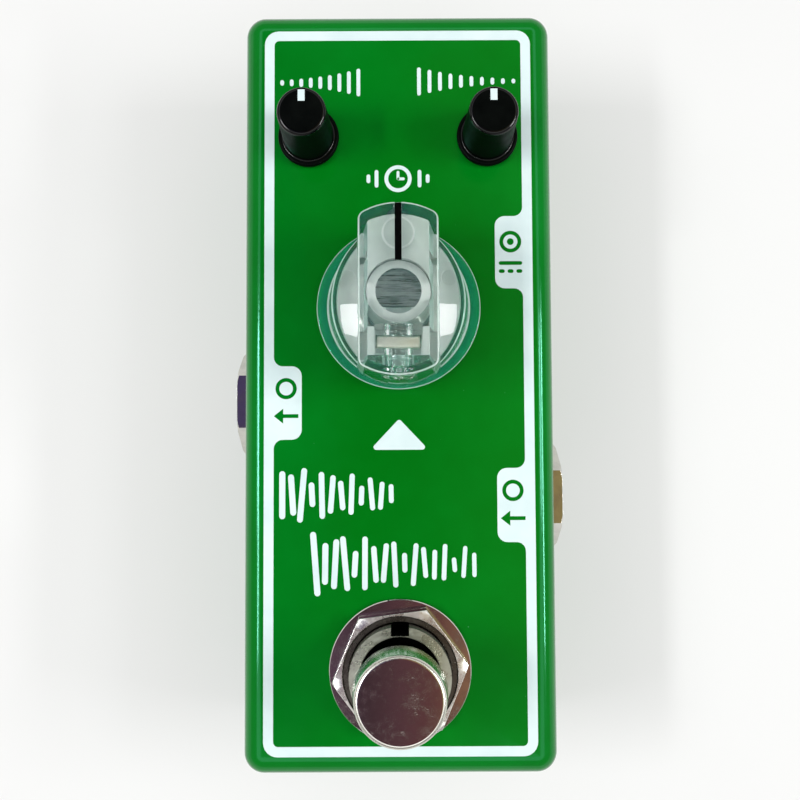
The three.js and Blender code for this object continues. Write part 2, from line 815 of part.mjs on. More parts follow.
// Moulded clear knob: flange, shoulders and a hollow bar, with a boss for the shaft, a slot
// for the captive nut, a sleeve that leads the screwdriver to the set screw, and ejector marks
function timeKnob() {
  const shoulderCrown = knobShoulderTop + knobShoulderRise;
  const outer = joined(
    rodZ(knobFlangeRadius, 0, knobFlangeThickness, 0, 0, fineSides),
    shoulderLayer(0, 0, shoulderCrown).intersect(underShoulderRoof(0)),
    barLayer(0, 0, knobBarTop),
  );
  const cavityTop = knobBarTop - knobTopWall;
  const hollow = joined(
    rodZ(knobPocketRadius, -overrun, knobPocketTop),
    shoulderLayer(knobWall, knobFlangeThickness, shoulderCrown).intersect(underShoulderRoof(knobWall)),
    barLayer(knobWall, knobFlangeThickness, cavityTop),
    rodZ(frontMarkRadius, cavityTop - overrun, cavityTop + frontMarkDepth, 0, frontMarkY),
  );
  const nutSlotNear = knobNutFromAxis - fitGap;
  const nutSlotFar = knobNutFromAxis + knobNutThickness + fitGap;
  const ribHalf = knobBarFootHalfWidth;
  const ribs = joined(
    rodZ(knobBossRadius, knobPocketTop, cavityTop + overrun),
    block(-ribHalf, ribHalf, knobFrontRibY - knobRibThickness, knobFrontRibY, knobRibFoot, cavityTop),
    block(
      -ribHalf,
      ribHalf,
      -nutSlotFar - knobRibThickness,
      -nutSlotNear + knobRibThickness,
      knobRibFoot,
      cavityTop,
    ),
    rodY(driverSleeveRadius, -knobBarFootReach, -nutSlotFar, 0, setScrewHeight, smallSides),
  ).intersect(barLayer(knobWall / 2, 0, knobBarTop - knobTopWall / 2));
  const padTop = shoulderRoofAt(sideMarkX) - knobWall / 2;
  const pads = joined(...[-1, 1].map((side) => rodZ(
    sideMarkRadius,
    padTop - knobWall / 2 - sideMarkLength,
    padTop,
    side * sideMarkX,
    sideMarkY,
    smallSides,
  )));
  const nutHalf = knobNutSize / 2 + fitGap;
  const slot = block(
    -nutHalf,
    nutHalf,
    -nutSlotFar,
    -nutSlotNear,
    knobRibFoot - overrun,
    setScrewHeight + nutHalf,
  );
  const screwFar = -timeShaftFlat - setScrewLength - seatGap - fitGap;
  const pointer = block(
    -knobPointerWidth / 2,
    knobPointerWidth / 2,
    knobPointerStart,
    knobBarFootReach + overrun,
    knobBarTop - knobPointerDepth,
    knobBarTop + overrun,
  );
  return cut(
    joined(cut(outer, hollow), ribs, pads),
    shaftBore(),
    slot,
    rodY(setScrewRadius + fitGap, screwFar, 0, 0, setScrewHeight, smallSides),
    rodY(driverHoleRadius, -knobBarFootReach - overrun, 0, 0, setScrewHeight, smallSides),
    pointer,
  );
}

function setScrew() {
  const near = -timeShaftFlat - fitGap;
  const far = near - setScrewLength;
  const socket = rodY(setScrewSocketRadius, far - overrun, far + setScrewSocketDepth, 0, 0, hexSides);
  return cut(rodY(setScrewRadius, far, near, 0, 0, smallSides), socket);
}

function knobNut() {
  const half = knobNutSize / 2;
  const near = -knobNutFromAxis;
  const far = near - knobNutThickness;
  const bore = rodY(setScrewRadius + turnGap, far - overrun, near + overrun, 0, 0, smallSides);
  return cut(block(-half, half, far, near, -half, half), bore);
}

function buildTimeControl() {
  const control = new THREE.Group();
  control.position.set(0, timePotY, 0);
  const washerTop = caseTop + timeWasherThickness;
  const bushingHole = timeBushingRadius + fitGap;
  addPiece(control, 'time_pot_body', timePotBody(), 'zincSteel');
  addPiece(control, 'time_pot_washer', ring(timeWasherRadius, bushingHole, caseTop, washerTop), 'nickel');
  const nut = hexagonNut(timeNutAcrossFlats, washerTop, washerTop + timeNutThickness, bushingHole);
  addPiece(control, 'time_pot_nut', nut, 'nickel');
  addPiece(control, 'time_pot_shaft', timeShaft(), 'castAluminium');
  const knob = new THREE.Group();
  knob.position.z = knobFoot;
  addPiece(knob, 'time_knob', timeKnob(), 'clearPlastic');
  addPiece(knob, 'time_knob_set_screw', setScrew(), 'nickel').position.z = setScrewHeight;
  addPiece(knob, 'time_knob_nut', knobNut(), 'brass').position.z = setScrewHeight;
  control.add(knob);
  pedal.add(control);
}

// Status light under the clear knob's flange, on two legs that stand on the board
function statusLight() {
  const top = caseTop + ledProud;
  const collarTop = roofUnderside - seatGap;
  const collarFoot = collarTop - ledCollarHeight;
  const straightTop = top - ledRadius / 2;
  let light = turned([
    [0, collarFoot],
    [ledCollarRadius, collarFoot],
    [ledCollarRadius, collarTop],
    [ledRadius, collarTop],
    [ledRadius, straightTop],
    [ledRadius * Math.cos(Math.PI / 6), straightTop + (ledRadius / 2) * Math.sin(Math.PI / 6)],
    [ledRadius * Math.cos(Math.PI / 3), straightTop + (ledRadius / 2) * Math.sin(Math.PI / 3)],
    [0, top],
  ], smallSides);
  for (const side of [-1, 1]) {
    const x = (side * ledLegPitch) / 2;
    const half = ledLegWidth / 2;
    light = light.add(block(x - half, x + half, -half, half, boardTop, collarFoot + ledCollarHeight / 2));
  }
  return light;
}

function buildStatusLight() {
  addPiece(pedal, 'status_led', statusLight(), 'clearLight').position.set(0, timePotY + ledFromShaft, 0);
}

// A bent spring leaf of even thickness that dips towards the socket's axis:
// it starts at the board, x runs outwards and z is measured from the axis
function contactLeaf(boreRadius, dip, boardZ, width = contactWidth) {
  const rest = boreRadius + contactAnchorRise;
  const half = contactThickness / 2;
  const spine = [
    [0, boardZ],
    [0, rest + half],
    [contactLength / 3, boreRadius + half],
    [contactLength * 0.75, boreRadius - dip + half],
    [contactLength, boreRadius + half],
  ].map(([x, z]) => new THREE.Vector2(x, z));
  const normalAt = (i) => {
    const before = spine[Math.max(i - 1, 0)];
    const after = spine[Math.min(i + 1, spine.length - 1)];
    const along = after.clone().sub(before).normalize();
    return new THREE.Vector2(-along.y, along.x).multiplyScalar(half);
  };
  const left = spine.map((point, i) => point.clone().add(normalAt(i)));
  const right = spine.map((point, i) => point.clone().sub(normalAt(i))).reverse();
  left[0].y = boardZ;
  right[right.length - 1].y = boardZ;
  const geometry = new THREE.ExtrudeGeometry(new THREE.Shape([...left, ...right]), {
    depth: width,
    bevelEnabled: false,
  });
  geometry.translate(0, 0, -width / 2);
  geometry.rotateX(Math.PI / 2);
  return solidOf(geometry);
}

// Slot in a socket's upper side that takes one contact leaf, x measured from the leaf's leg
function contactSlot(leafX, boreRadius, top) {
  const halfY = contactWidth / 2 + holeGap;
  const start = leafX - contactThickness - holeGap;
  return block(start, leafX + contactLength + seatGap + holeGap, -halfY, halfY, boreRadius / 2, top + overrun);
}

// Instrument socket along X: x = 0 is the case wall's outer face and the plug leaves towards +X
function jackBody(contactPlaces) {
  const inner = -caseWall;
  const back = inner - jackBodyLength;
  const halfY = jackBodyWidth / 2;
  const halfZ = jackBodyHeight / 2;
  const chamferStart = jackThreadProud - jackMouthChamfer;
  const bore = rodX(jackBoreRadius, back - overrun, jackThreadProud + overrun);
  let body = joined(
    block(back, inner, -halfY, halfY, -halfZ, halfZ),
    rodX(jackThreadRadius, inner - overrun, jackThreadProud),
  );
  for (const place of contactPlaces) {
    body = cut(body, contactSlot(place, jackBoreRadius, halfZ));
  }
  const mouth = rodX([jackBoreRadius, jackBoreRadius + jackMouthChamfer], chamferStart, jackThreadProud);
  return cut(body, bore, mouth);
}

// A nut or washer made along Z, turned so that it seats on the wall, faces +X and has a flat up
function facingOut(solid) {
  const geometry = geometryOf(solid);
  geometry.rotateY(Math.PI / 2);
  return solidOf(geometry);
}

function buildInstrumentJack(name, wallX, y, turn) {
  const jack = new THREE.Group();
  jack.position.set(wallX, y, jackAxisZ);
  jack.rotation.z = turn;
  const back = -caseWall - jackBodyLength;
  const sleevePlace = -caseWall - jackSleeveContactDepth - contactLength;
  const tipPlace = -caseWall - jackBodyLength * jackTipContactShare - contactLength;
  const places = [sleevePlace, Math.max(tipPlace, back + overrun)];
  const threadHole = jackThreadRadius + fitGap;
  const washer = ring(jackWasherRadius, threadHole, 0, jackWasherThickness);
  const nutEnd = jackWasherThickness + jackNutThickness;
  const nut = hexagonNut(jackNutAcrossFlats, jackWasherThickness, nutEnd, threadHole);
  addPiece(jack, `${name}_jack_body`, jackBody(places), 'blackPlastic');
  addPiece(jack, `${name}_jack_washer`, facingOut(washer), 'nickel');
  addPiece(jack, `${name}_jack_nut`, facingOut(nut), 'nickel');
  ['sleeve', 'tip'].forEach((role, i) => {
    const leaf = contactLeaf(jackBoreRadius, contactDip, jackBodyHeight / 2);
    addPiece(jack, `${name}_jack_${role}_contact`, leaf, 'brass').position.x = places[i];
  });
  pedal.add(jack);
}

// Supply socket: a square housing with a round collar in the case wall and a centre pin
function powerHousing(contactPlace) {
  const inner = -caseWall;
  const back = inner - powerBodyLength;
  const front = -powerCollarSink;
  const halfY = powerBodyWidth / 2;
  const halfZ = powerBodyHeight / 2;
  const body = joined(
    block(back, inner, -halfY, halfY, -halfZ, halfZ),
    rodX(powerCollarRadius, inner - overrun, front),
  );
  return cut(
    body,
    rodX(powerBoreRadius, front - powerBoreDepth, front + overrun),
    rodX(powerPinRadius + turnGap, back - overrun, front, 0, 0, smallSides),
    contactSlot(contactPlace, powerBoreRadius, halfZ),
  );
}

function buildPowerJack() {
  const jack = new THREE.Group();
  jack.position.set(caseWidth / 2, powerJackY, powerAxisZ);
  const contactPlace = -caseWall - powerContactDepth - contactLength;
  const pinFront = -powerCollarSink - powerPinSink;
  const pin = joined(
    rodX(powerPinRadius, -caseWall - powerBodyLength, pinFront - powerPinRadius / 2, 0, 0, smallSides),
    rodX([powerPinRadius, powerPinRadius / 2], pinFront - powerPinRadius / 2, pinFront, 0, 0, smallSides),
  );
  addPiece(jack, 'power_jack_housing', powerHousing(contactPlace), 'blackPlastic');
  addPiece(jack, 'power_jack_pin', pin, 'nickel');
  const leaf = contactLeaf(powerBoreRadius, powerContactDip, powerBodyHeight / 2);
  addPiece(jack, 'power_jack_contact', leaf, 'brass').position.x = contactPlace;
  pedal.add(jack);
}

// Footswitch: planes measured up from the base of the case
const innerNutFoot = roofUnderside - switchNutThickness;
const canTop = innerNutFoot;
const canFoot = canTop - switchCanHeight;
const bushingTop = caseTop + switchBushingProud;
const plungerTop = caseTop + plungerProud;
const capFoot = plungerTop - plungerCapLength;
const boreFloor = capFoot - plungerTravel - seatGap;
const canRoofUnderside = canTop - switchCanWall;
const clipTop = canRoofUnderside - seatGap;
const clipFoot = clipTop - clipThickness;
const springTop = clipFoot - seatGap / 3;
const baseTop = canFoot + switchBaseHeight;

// Sheet-metal can with its threaded bushing, the plunger's bore and guide hole, and a keyway
function switchCan() {
  const outline = roundedRectangle(switchCanWidth, switchCanLength, switchCanCornerRadius);
  const innerOutline = roundedRectangle(
    switchCanWidth - 2 * switchCanWall,
    switchCanLength - 2 * switchCanWall,
    switchCanCornerRadius / 2,
  );
  const body = joined(slab(outline, canFoot, canTop, 3), rodZ(switchBushingRadius, canTop - overrun, bushingTop));
  const key = block(
    -switchKeyWidth / 2,
    switchKeyWidth / 2,
    0,
    switchBushingRadius + overrun,
    bushingTop - switchKeyDepth,
    bushingTop + overrun,
  );
  return cut(
    body,
    slab(innerOutline, canFoot - overrun, canRoofUnderside, 3),
    rodZ(switchBoreRadius, boreFloor, bushingTop + overrun, 0, 0, fineSides),
    rodZ(plungerStemRadius + fitGap, canFoot, bushingTop),
    key,
  );
}

function switchBase() {
  const inset = switchCanWall + switchBaseInset;
  const outline = roundedRectangle(
    switchCanWidth - 2 * inset,
    switchCanLength - 2 * inset,
    switchCanCornerRadius / 2,
  );
  let base = slab(outline, canFoot, baseTop, 3);
  for (const side of [-1, 1]) {
    const x = (side * lugSpacing) / 2;
    base = cut(base, block(
      x - lugWidth / 2 - fitGap,
      x + lugWidth / 2 + fitGap,
      -lugThickness / 2 - fitGap,
      lugThickness / 2 + fitGap,
      canFoot - overrun,
      baseTop - overrun,
    ));
  }
  return base;
}

function switchLug() {
  const foot = canFoot - lugLength;
  const half = lugWidth / 2;
  const plate = block(-half, half, -lugThickness / 2, lugThickness / 2, foot, baseTop - overrun - fitGap);
  const eye = rodY(lugHoleRadius, -lugThickness, lugThickness, 0, foot + half, smallSides);
  return cut(plate, eye);
}

// Plunger: polished cap, guide stem with a groove for the clip, and a thin pushing rod
function plunger() {
  const rim = plungerRadius - plungerTopRadius;
  const tipFoot = clipFoot - fitGap - plungerTipLength;
  const corner = Math.PI / 4;
  return turned([
    [0, tipFoot - plungerRodLength],
    [plungerRodRadius, tipFoot - plungerRodLength],
    [plungerRodRadius, tipFoot],
    [plungerStemRadius, tipFoot],
    [plungerStemRadius, clipFoot - fitGap],
    [plungerGrooveRadius, clipFoot - fitGap],
    [plungerGrooveRadius, clipTop + fitGap],
    [plungerStemRadius, clipTop + fitGap],
    [plungerStemRadius, capFoot],
    [plungerRadius, capFoot],
    [plungerRadius, plungerTop - plungerRimHeight],
    [
      plungerTopRadius + rim * Math.cos(corner),
      plungerTop - plungerRimHeight + plungerRimHeight * Math.sin(corner),
    ],
    [plungerTopRadius, plungerTop],
    [0, plungerTop],
  ]);
}

// Open retaining clip in the stem's groove
function plungerClip() {
  const gap = THREE.MathUtils.degToRad(clipGapDegrees) / 2;
  const inner = plungerGrooveRadius + fitGap;
  const shape = new THREE.Shape();
  shape.absarc(0, 0, clipRadius, gap, Math.PI * 2 - gap);
  shape.absarc(0, 0, inner, Math.PI * 2 - gap, gap, true);
  return slab(shape, clipFoot, clipTop, smallSides);
}

class Coil extends THREE.Curve {
  constructor(radius, foot, top, turns) {
    super();
    Object.assign(this, { radius, foot, top, turns });
  }

  getPoint(t) {
    const angle = t * this.turns * Math.PI * 2;
    return new THREE.Vector3(
      this.radius * Math.cos(angle),
      this.radius * Math.sin(angle),
      this.foot + (this.top - this.foot) * t,
    );
  }
}

function roundSection(radius, sides) {
  const points = [];
  for (let i = 0; i < sides; i += 1) {
    const angle = (i / sides) * Math.PI * 2;
    points.push(new THREE.Vector2(radius * Math.cos(angle), radius * Math.sin(angle)));
  }
  return new THREE.Shape(points);
}

function returnSpring() {
  const wireRadius = returnSpringWire / 2;
  const coil = new Coil(
    returnSpringRadius,
    baseTop + seatGap + wireRadius,
    springTop - wireRadius,
    returnSpringTurns,
  );
  return solidOf(new THREE.ExtrudeGeometry(roundSection(wireRadius, 5), {
    steps: returnSpringTurns * 10,
    extrudePath: coil,
    bevelEnabled: false,
  }));
}

// Wire from a lug's eye, forwards and up to the board's near end
function switchWire(x) {
  const lugFace = switchY + lugThickness / 2;
  const eyeZ = canFoot - lugLength + lugWidth / 2;
  const landY = switchCanFace + (inputJackFace - switchCanFace) * switchWireLandShare;
  const path = new THREE.CatmullRomCurve3([
    new THREE.Vector3(x, lugFace + fitGap, eyeZ),
    new THREE.Vector3(x, (lugFace + switchCanFace) / 2, eyeZ - switchWireRadius),
    new THREE.Vector3(x, switchCanFace, eyeZ),
    new THREE.Vector3(x, landY, eyeZ + lugWidth),
    new THREE.Vector3(x, landY, (eyeZ + boardUnderside) / 2),
    new THREE.Vector3(x, landY, boardUnderside - turnGap),
  ]);
  return solidOf(new THREE.ExtrudeGeometry(roundSection(switchWireRadius, hexSides), {
    steps: smallSides,
    extrudePath: path,
    bevelEnabled: false,
  }));
}

function buildFootswitch() {
  const footswitch = new THREE.Group();
  footswitch.position.set(0, switchY, 0);
  const washerTop = caseTop + switchWasherThickness;
  const nutTop = washerTop + switchNutThickness;
  const bushingHole = switchBushingRadius + fitGap;
  const chamfer = rodZ([bushingHole, switchNutChamferRadius], nutTop - switchNutChamferDepth, nutTop);
  const washer = ring(switchWasherRadius, bushingHole, caseTop, washerTop, fineSides);
  const nut = cut(hexagonNut(switchNutAcrossFlats, washerTop, nutTop, bushingHole), chamfer);
  const innerNut = hexagonNut(switchNutAcrossFlats, innerNutFoot, roofUnderside, bushingHole);
  addPiece(footswitch, 'footswitch_can', switchCan(), 'nickel');
  addPiece(footswitch, 'footswitch_inner_nut', innerNut, 'nickel');
  addPiece(footswitch, 'footswitch_washer', washer, 'nickel');
  const turn = THREE.MathUtils.degToRad(90 + switchNutTurnDegrees);
  addPiece(footswitch, 'footswitch_nut', nut, 'nickel').rotation.z = turn;
  addPiece(footswitch, 'footswitch_base', switchBase(), 'blackPlastic');
  [-1, 1].forEach((side, i) => {
    const x = (side * lugSpacing) / 2;
    addPiece(footswitch, `footswitch_lug_${i + 1}`, switchLug(), 'brass').position.x = x;
    addPiece(pedal, `switch_wire_${i + 1}`, switchWire(x), i ? 'wireBlack' : 'wireRed');
  });
  addPiece(footswitch, 'footswitch_plunger', plunger(), 'nickel');
  addPiece(footswitch, 'footswitch_clip', plungerClip(), 'zincSteel');
  addPiece(footswitch, 'footswitch_spring', returnSpring(), 'zincSteel');
  pedal.add(footswitch);
}

buildCase();
buildBoard();
buildSmallControls();
buildTimeControl();
buildStatusLight();
buildInstrumentJack('output', -caseWidth / 2, outputJackY, Math.PI);
buildInstrumentJack('input', caseWidth / 2, inputJackY, 0);
buildPowerJack();
buildFootswitch();

export default pedal;
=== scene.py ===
import math

import bmesh
import bpy
from mathutils import Matrix, Vector


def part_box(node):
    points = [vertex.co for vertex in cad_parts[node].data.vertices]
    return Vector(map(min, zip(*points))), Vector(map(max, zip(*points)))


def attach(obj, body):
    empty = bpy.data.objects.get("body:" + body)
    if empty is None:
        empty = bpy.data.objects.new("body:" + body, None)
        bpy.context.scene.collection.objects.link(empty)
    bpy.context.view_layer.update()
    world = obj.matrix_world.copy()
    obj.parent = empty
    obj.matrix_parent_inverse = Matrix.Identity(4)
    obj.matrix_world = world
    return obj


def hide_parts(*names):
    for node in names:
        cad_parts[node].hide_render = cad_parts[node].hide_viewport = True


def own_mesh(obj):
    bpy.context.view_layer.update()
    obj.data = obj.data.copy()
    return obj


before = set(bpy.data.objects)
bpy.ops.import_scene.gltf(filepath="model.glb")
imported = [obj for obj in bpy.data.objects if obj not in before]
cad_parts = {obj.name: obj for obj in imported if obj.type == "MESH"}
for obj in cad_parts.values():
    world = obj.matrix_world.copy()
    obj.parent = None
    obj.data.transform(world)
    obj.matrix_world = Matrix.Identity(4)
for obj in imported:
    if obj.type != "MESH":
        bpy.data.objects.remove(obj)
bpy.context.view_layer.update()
scene = bpy.context.scene
mm = 0.001
print("frame loaded")


class Facts(dict):  # the measures of one piece, read as facts.name
    __getattr__ = dict.__getitem__


def placed(name, data):
    thing = bpy.data.objects.new(name, data)
    scene.collection.objects.link(thing)
    return thing


# Camera: fitted to the photograph, looking down on the roof from above its middle
cameraFacts = Facts(
    place=(0.136, -8.0, 150.16),      # mm
    turn=(0.0535, 0.0004, -0.0046),   # radians about x, y, z
    focalPixels=979.8,                # for an image 800 pixels wide
    imagePixels=800,
    sensorMm=36,
)

camera = placed("camera", bpy.data.cameras.new("camera"))
camera.data.sensor_width = cameraFacts.sensorMm
camera.data.lens = cameraFacts.sensorMm * cameraFacts.focalPixels / cameraFacts.imagePixels
camera.data.clip_start = 0.005
camera.location = Vector(cameraFacts.place) * mm
camera.rotation_euler = cameraFacts.turn
scene.camera = camera
scene.view_settings.view_transform = "Standard"

# light crosses the clear knob's walls many times before it leaves
lightPaths = scene.cycles
lightPaths.max_bounces, lightPaths.glossy_bounces, lightPaths.transmission_bounces = 24, 16, 24


# Shader maths as plain expressions
class Wire:
    def __init__(self, finish, socket):
        self.finish, self.socket = finish, socket

    def __add__(self, other):
        return self.finish.node("ShaderNodeMath", {"operation": "ADD"}, {0: self, 1: other})

    def __mul__(self, other):
        return self.finish.node("ShaderNodeMath", {"operation": "MULTIPLY"}, {0: self, 1: other})


usual = (0.3, 0.7)  # most values of a noise lie between these


class Finish:
    def __init__(self, name, owner=None):
        self.owner = owner or bpy.data.materials.new(name)
        self.owner.use_nodes = True
        self.tree = self.owner.node_tree
        self.tree.nodes.clear()

    def node(self, kind, settings=None, values=None, output=0):
        made = self.tree.nodes.new(kind)
        for name, value in (settings or {}).items():
            setattr(made, name, value)
        for name, value in (values or {}).items():
            self.feed(made.inputs[name], value)
        return Wire(self, made.outputs[output])

    def feed(self, socket, value):
        if isinstance(value, Wire):
            self.tree.links.new(value.socket, socket)
        else:
            socket.default_value = (*value, 1) if socket.type == "RGBA" and len(value) == 3 else value

    def place(self):
        return self.node("ShaderNodeTexCoord", output="Object")

    def mapped(self, stretch, turn=(0, 0, 0)):
        return self.node("ShaderNodeMapping", values={"Vector": self.place(), "Scale": stretch, "Rotation": turn})

    def noise(self, size, detail, roughness=0.5, at=None):  # size: width of one feature in mm
        values = {"Vector": at or self.place(), "Scale": 1 / (size * mm), "Detail": detail, "Roughness": roughness}
        return self.node("ShaderNodeTexNoise", values=values)

    def between(self, value, low, high, toLow=0.0, toHigh=1.0):
        values = {"Value": value, "From Min": low, "From Max": high, "To Min": toLow, "To Max": toHigh}
        return self.node("ShaderNodeMapRange", {"interpolation_type": "SMOOTHSTEP"}, values)

    def spread(self, noise, low, high):  # a number that follows a noise
        return self.between(noise, *usual, low, high)

    def mix(self, factor, first, second):
        return self.node("ShaderNodeMix", {"data_type": "RGBA"}, {0: factor, 6: first, 7: second}, 2)

    def ramp(self, factor, stops):
        made = self.node("ShaderNodeValToRGB", values={0: factor})
        points = made.socket.node.color_ramp.elements
        for point in range(len(stops) - len(points)):
            points.new(1)
        for point, (place, colour) in zip(points, stops):
            point.position, point.color = place, (*colour, 1)
        return made

    def blend(self, noise, first, second):  # a colour that follows a noise
        return self.ramp(noise, list(zip(usual, (first, second))))

    def axes(self, vector):
        split = self.tree.nodes.new("ShaderNodeSeparateXYZ")
        self.feed(split.inputs[0], vector)
        return [Wire(self, out) for out in split.outputs]

    def dots(self, spacing, size):  # mask of small round dots scattered through the piece
        cells = {"Vector": self.place(), "Scale": 1 / (spacing * mm)}
        distance = self.node("ShaderNodeTexVoronoi", values=cells)
        return self.between(distance, size / spacing, size / spacing * 0.4)

    def dust(self, spacing, size, patch, low, high):  # dots that lie in patches only
        return self.dots(spacing, size) * self.between(self.noise(patch, 1), low, high)

    def bump(self, height, depth):  # depth in mm
        return self.node("ShaderNodeBump", values={"Height": height, "Distance": depth * mm, "Strength": 1.0})

    def principled(self, **values):
        named = {name.replace("_", " "): value for name, value in values.items()}
        return self.node("ShaderNodeBsdfPrincipled", values=named)

    def surface(self, shader, kind="ShaderNodeOutputMaterial"):
        output = self.tree.nodes.new(kind)
        self.tree.links.new(shader.socket, output.inputs[0])
        return self.owner

    def done(self, **values):
        return self.surface(self.principled(**values))


def enamel():
    f = Finish("greenEnamel")
    patches = f.noise(22, 3)
    fine = f.noise(3.5, 2)
    dust = f.dust(2.3, 0.09, 6, 0.52, 0.6)
    tone = f.ramp(patches * 0.8 + fine * 0.2, [(0.35, (0.0, 0.138, 0.004)), (0.65, (0.0, 0.168, 0.008))])
    colour = f.mix(dust * 0.45, tone, (0.12, 0.42, 0.2))
    height = f.noise(0.9, 1) * 0.6 + f.noise(0.25, 2) * 0.25 + dust
    return f.done(
        Base_Color=colour,
        Roughness=f.spread(f.noise(9, 4, 0.6), 0.08, 0.14) + dust * 0.3,
        Specular_Tint=(0.3, 1.0, 0.8),
        Normal=f.bump(height, 0.004),
    )


def coverEnamel():
    f = Finish("coverEnamel")
    speckle = f.noise(0.5, 3, 0.7)
    scuffs = f.between(f.noise(14, 5, 0.7), 0.6, 0.72)
    tone = f.blend(speckle, (0.0008, 0.12, 0.008), (0.001, 0.15, 0.011))
    return f.done(
        Base_Color=f.mix(scuffs * 0.25, tone, (0.09, 0.24, 0.12)),
        Roughness=f.spread(speckle, 0.34, 0.46) + scuffs * 0.15,
        Normal=f.bump(speckle, 0.012),
    )


def printInk():
    f = Finish("printInk")
    cloud = f.noise(5, 3, 0.6)
    grain = f.noise(0.18, 2, 0.7)
    colour = f.blend(cloud, (0.59, 0.725, 0.735), (0.66, 0.785, 0.785))
    return f.done(
        Base_Color=f.mix(f.between(grain, 0.62, 0.75) * 0.25, colour, (0.55, 0.72, 0.66)),
        Roughness=f.spread(cloud, 0.3, 0.42),
        Normal=f.bump(grain, 0.003),
    )


def knobBlack(name, dark, pale, dustTone, roughness, dustRoughness, shine, relief, depth):
    f = Finish(name)
    cloud = f.noise(2.2, 3)
    dust = f.dust(1.1, 0.05, 2.5, 0.55, 0.62)
    return f.done(
        Base_Color=f.mix(dust * 0.5, f.blend(cloud, dark, pale), dustTone),
        Roughness=f.spread(cloud, *roughness) + dust * dustRoughness,
        Specular_IOR_Level=shine,
        Normal=f.bump(f.noise(0.12, 2, 0.7) * relief + dust, depth),
    )


# grain is the size, detail and roughness of the fine noise; a cloudy one has a broad noise too
def plainPlastic(name, dark, pale, roughness, grain, depth, cloudy=True, shine=0.5):
    f = Finish(name)
    fine = f.noise(*grain)
    cloud = f.noise(4, 3) if cloudy else fine
    return f.done(
        Base_Color=f.blend(cloud, dark, pale),
        Roughness=f.spread(cloud, *roughness),
        Specular_IOR_Level=shine,
        Normal=f.bump(fine, depth),
    )


def nickelPlate(name, tone, low, high):
    f = Finish(name)
    smears = f.noise(2.6, 4, 0.65)
    haze = f.noise(0.5, 3, 0.7)
    scratches = f.noise(0.5, 3, 0.6, f.mapped((1, 14, 1), (0, 0, 0.6)))
    marks = f.between(scratches, 0.62, 0.72) * f.between(smears, 0.5, 0.62)
    dull = tuple(part * 0.82 for part in tone)
    return f.done(
        Base_Color=f.mix(f.between(smears, 0.35, 0.7), tone, dull),
        Metallic=1.0,
        Roughness=f.between(smears * 0.7 + haze * 0.3, 0.4, 0.68, low, high) + marks * 0.12,
        Normal=f.bump(haze * 0.5 + marks, 0.0012),
    )


def brushedMetal(name, tone, stretch, roughness, size=0.14, depth=0.66):
    f = Finish(name)
    grain = f.noise(size, 3, 0.7, f.mapped(stretch))
    cloud = f.noise(2, 3)
    dark = tuple(part * depth for part in tone)
    return f.done(
        Base_Color=f.mix(f.between(grain * 0.7 + cloud * 0.3, 0.38, 0.62), dark, tone),
        Metallic=1.0,
        Roughness=f.spread(grain, roughness - 0.07, roughness + 0.12),
        Normal=f.bump(grain, 0.004),
    )


# clear plastic mixed by haze with a milky diffuse layer: on the plain acrylic a faint sea-green milkiness, on the
# knob's edge, wall, boss and mark paints a white or mint layer of painted light; frost is what a textured mould leaves
# inside
def clearAcrylic(name, haze, milkAndLightTone, roughness, frost, glint=(1.0, 0.97, 1.0)):
    f = Finish(name)
    flow = f.noise(3.2, 2)
    grain = f.noise(0.15, 2, 0.7)
    specks = f.dust(1.7, 0.05, 3, 0.5, 0.6)
    clear = f.principled(
        Base_Color=f.mix(flow, (0.94, 0.995, 0.975), (0.97, 1.0, 0.99)),
        Transmission_Weight=1.0,
        IOR=1.49,
        Specular_Tint=glint,
        Roughness=f.spread(flow, roughness, roughness + 0.02) + specks * 0.3,
        Normal=f.bump(flow + specks * 0.4 + grain * frost, 0.004),
    )
    # the milky layer: real milkiness, and painted light where the knob's edge, wall, boss and mark paints use it
    milkAndLightLayer = f.principled(Base_Color=f.mix(flow, milkAndLightTone, tuple(part * 0.9 for part in milkAndLightTone)), Roughness=0.4)
    mixture = {0: f.spread(flow, haze * 0.85, haze), 1: clear, 2: milkAndLightLayer}
    return f.surface(f.node("ShaderNodeMixShader", values=mixture))


def clearLamp():
    f = Finish("clearLamp")
    flow = f.noise(0.8, 2)
    return f.done(
        Base_Color=f.mix(flow, (0.86, 0.9, 0.92), (0.93, 0.96, 0.97)),
        Transmission_Weight=0.85,
        IOR=1.5,
        Roughness=f.spread(flow, 0.05, 0.12),
        Normal=f.bump(flow, 0.003),
    )


def solderMask():
    f = Finish("solderMask")
    waves = {"Vector": f.place(), "Scale": 180.0, "Distortion": 3.0}
    rows = f.node("ShaderNodeTexWave", {"bands_direction": "X"}, waves)
    traces = f.between(rows, 0.45, 0.55) * f.between(f.noise(3, 1), 0.45, 0.5)
    pads = f.dots(2.0, 0.5)
    colour = f.mix(traces, (0.008, 0.09, 0.03), (0.02, 0.17, 0.06))
    return f.done(
        Base_Color=f.mix(pads, colour, (0.55, 0.55, 0.52)),
        Metallic=pads * 0.8,
        Roughness=f.spread(f.noise(5, 2), 0.25, 0.4),
        Normal=f.bump(traces + pads, 0.03),
    )


def insulation(name, tone):
    f = Finish(name)
    cloud = f.noise(1.4, 3)
    pale = tuple(min(part * 1.5 + 0.01, 1) for part in tone)
    return f.done(
        Base_Color=f.mix(cloud, tone, pale),
        Roughness=f.spread(cloud, 0.35, 0.5),
        Normal=f.bump(f.noise(0.2, 2), 0.004),
    )


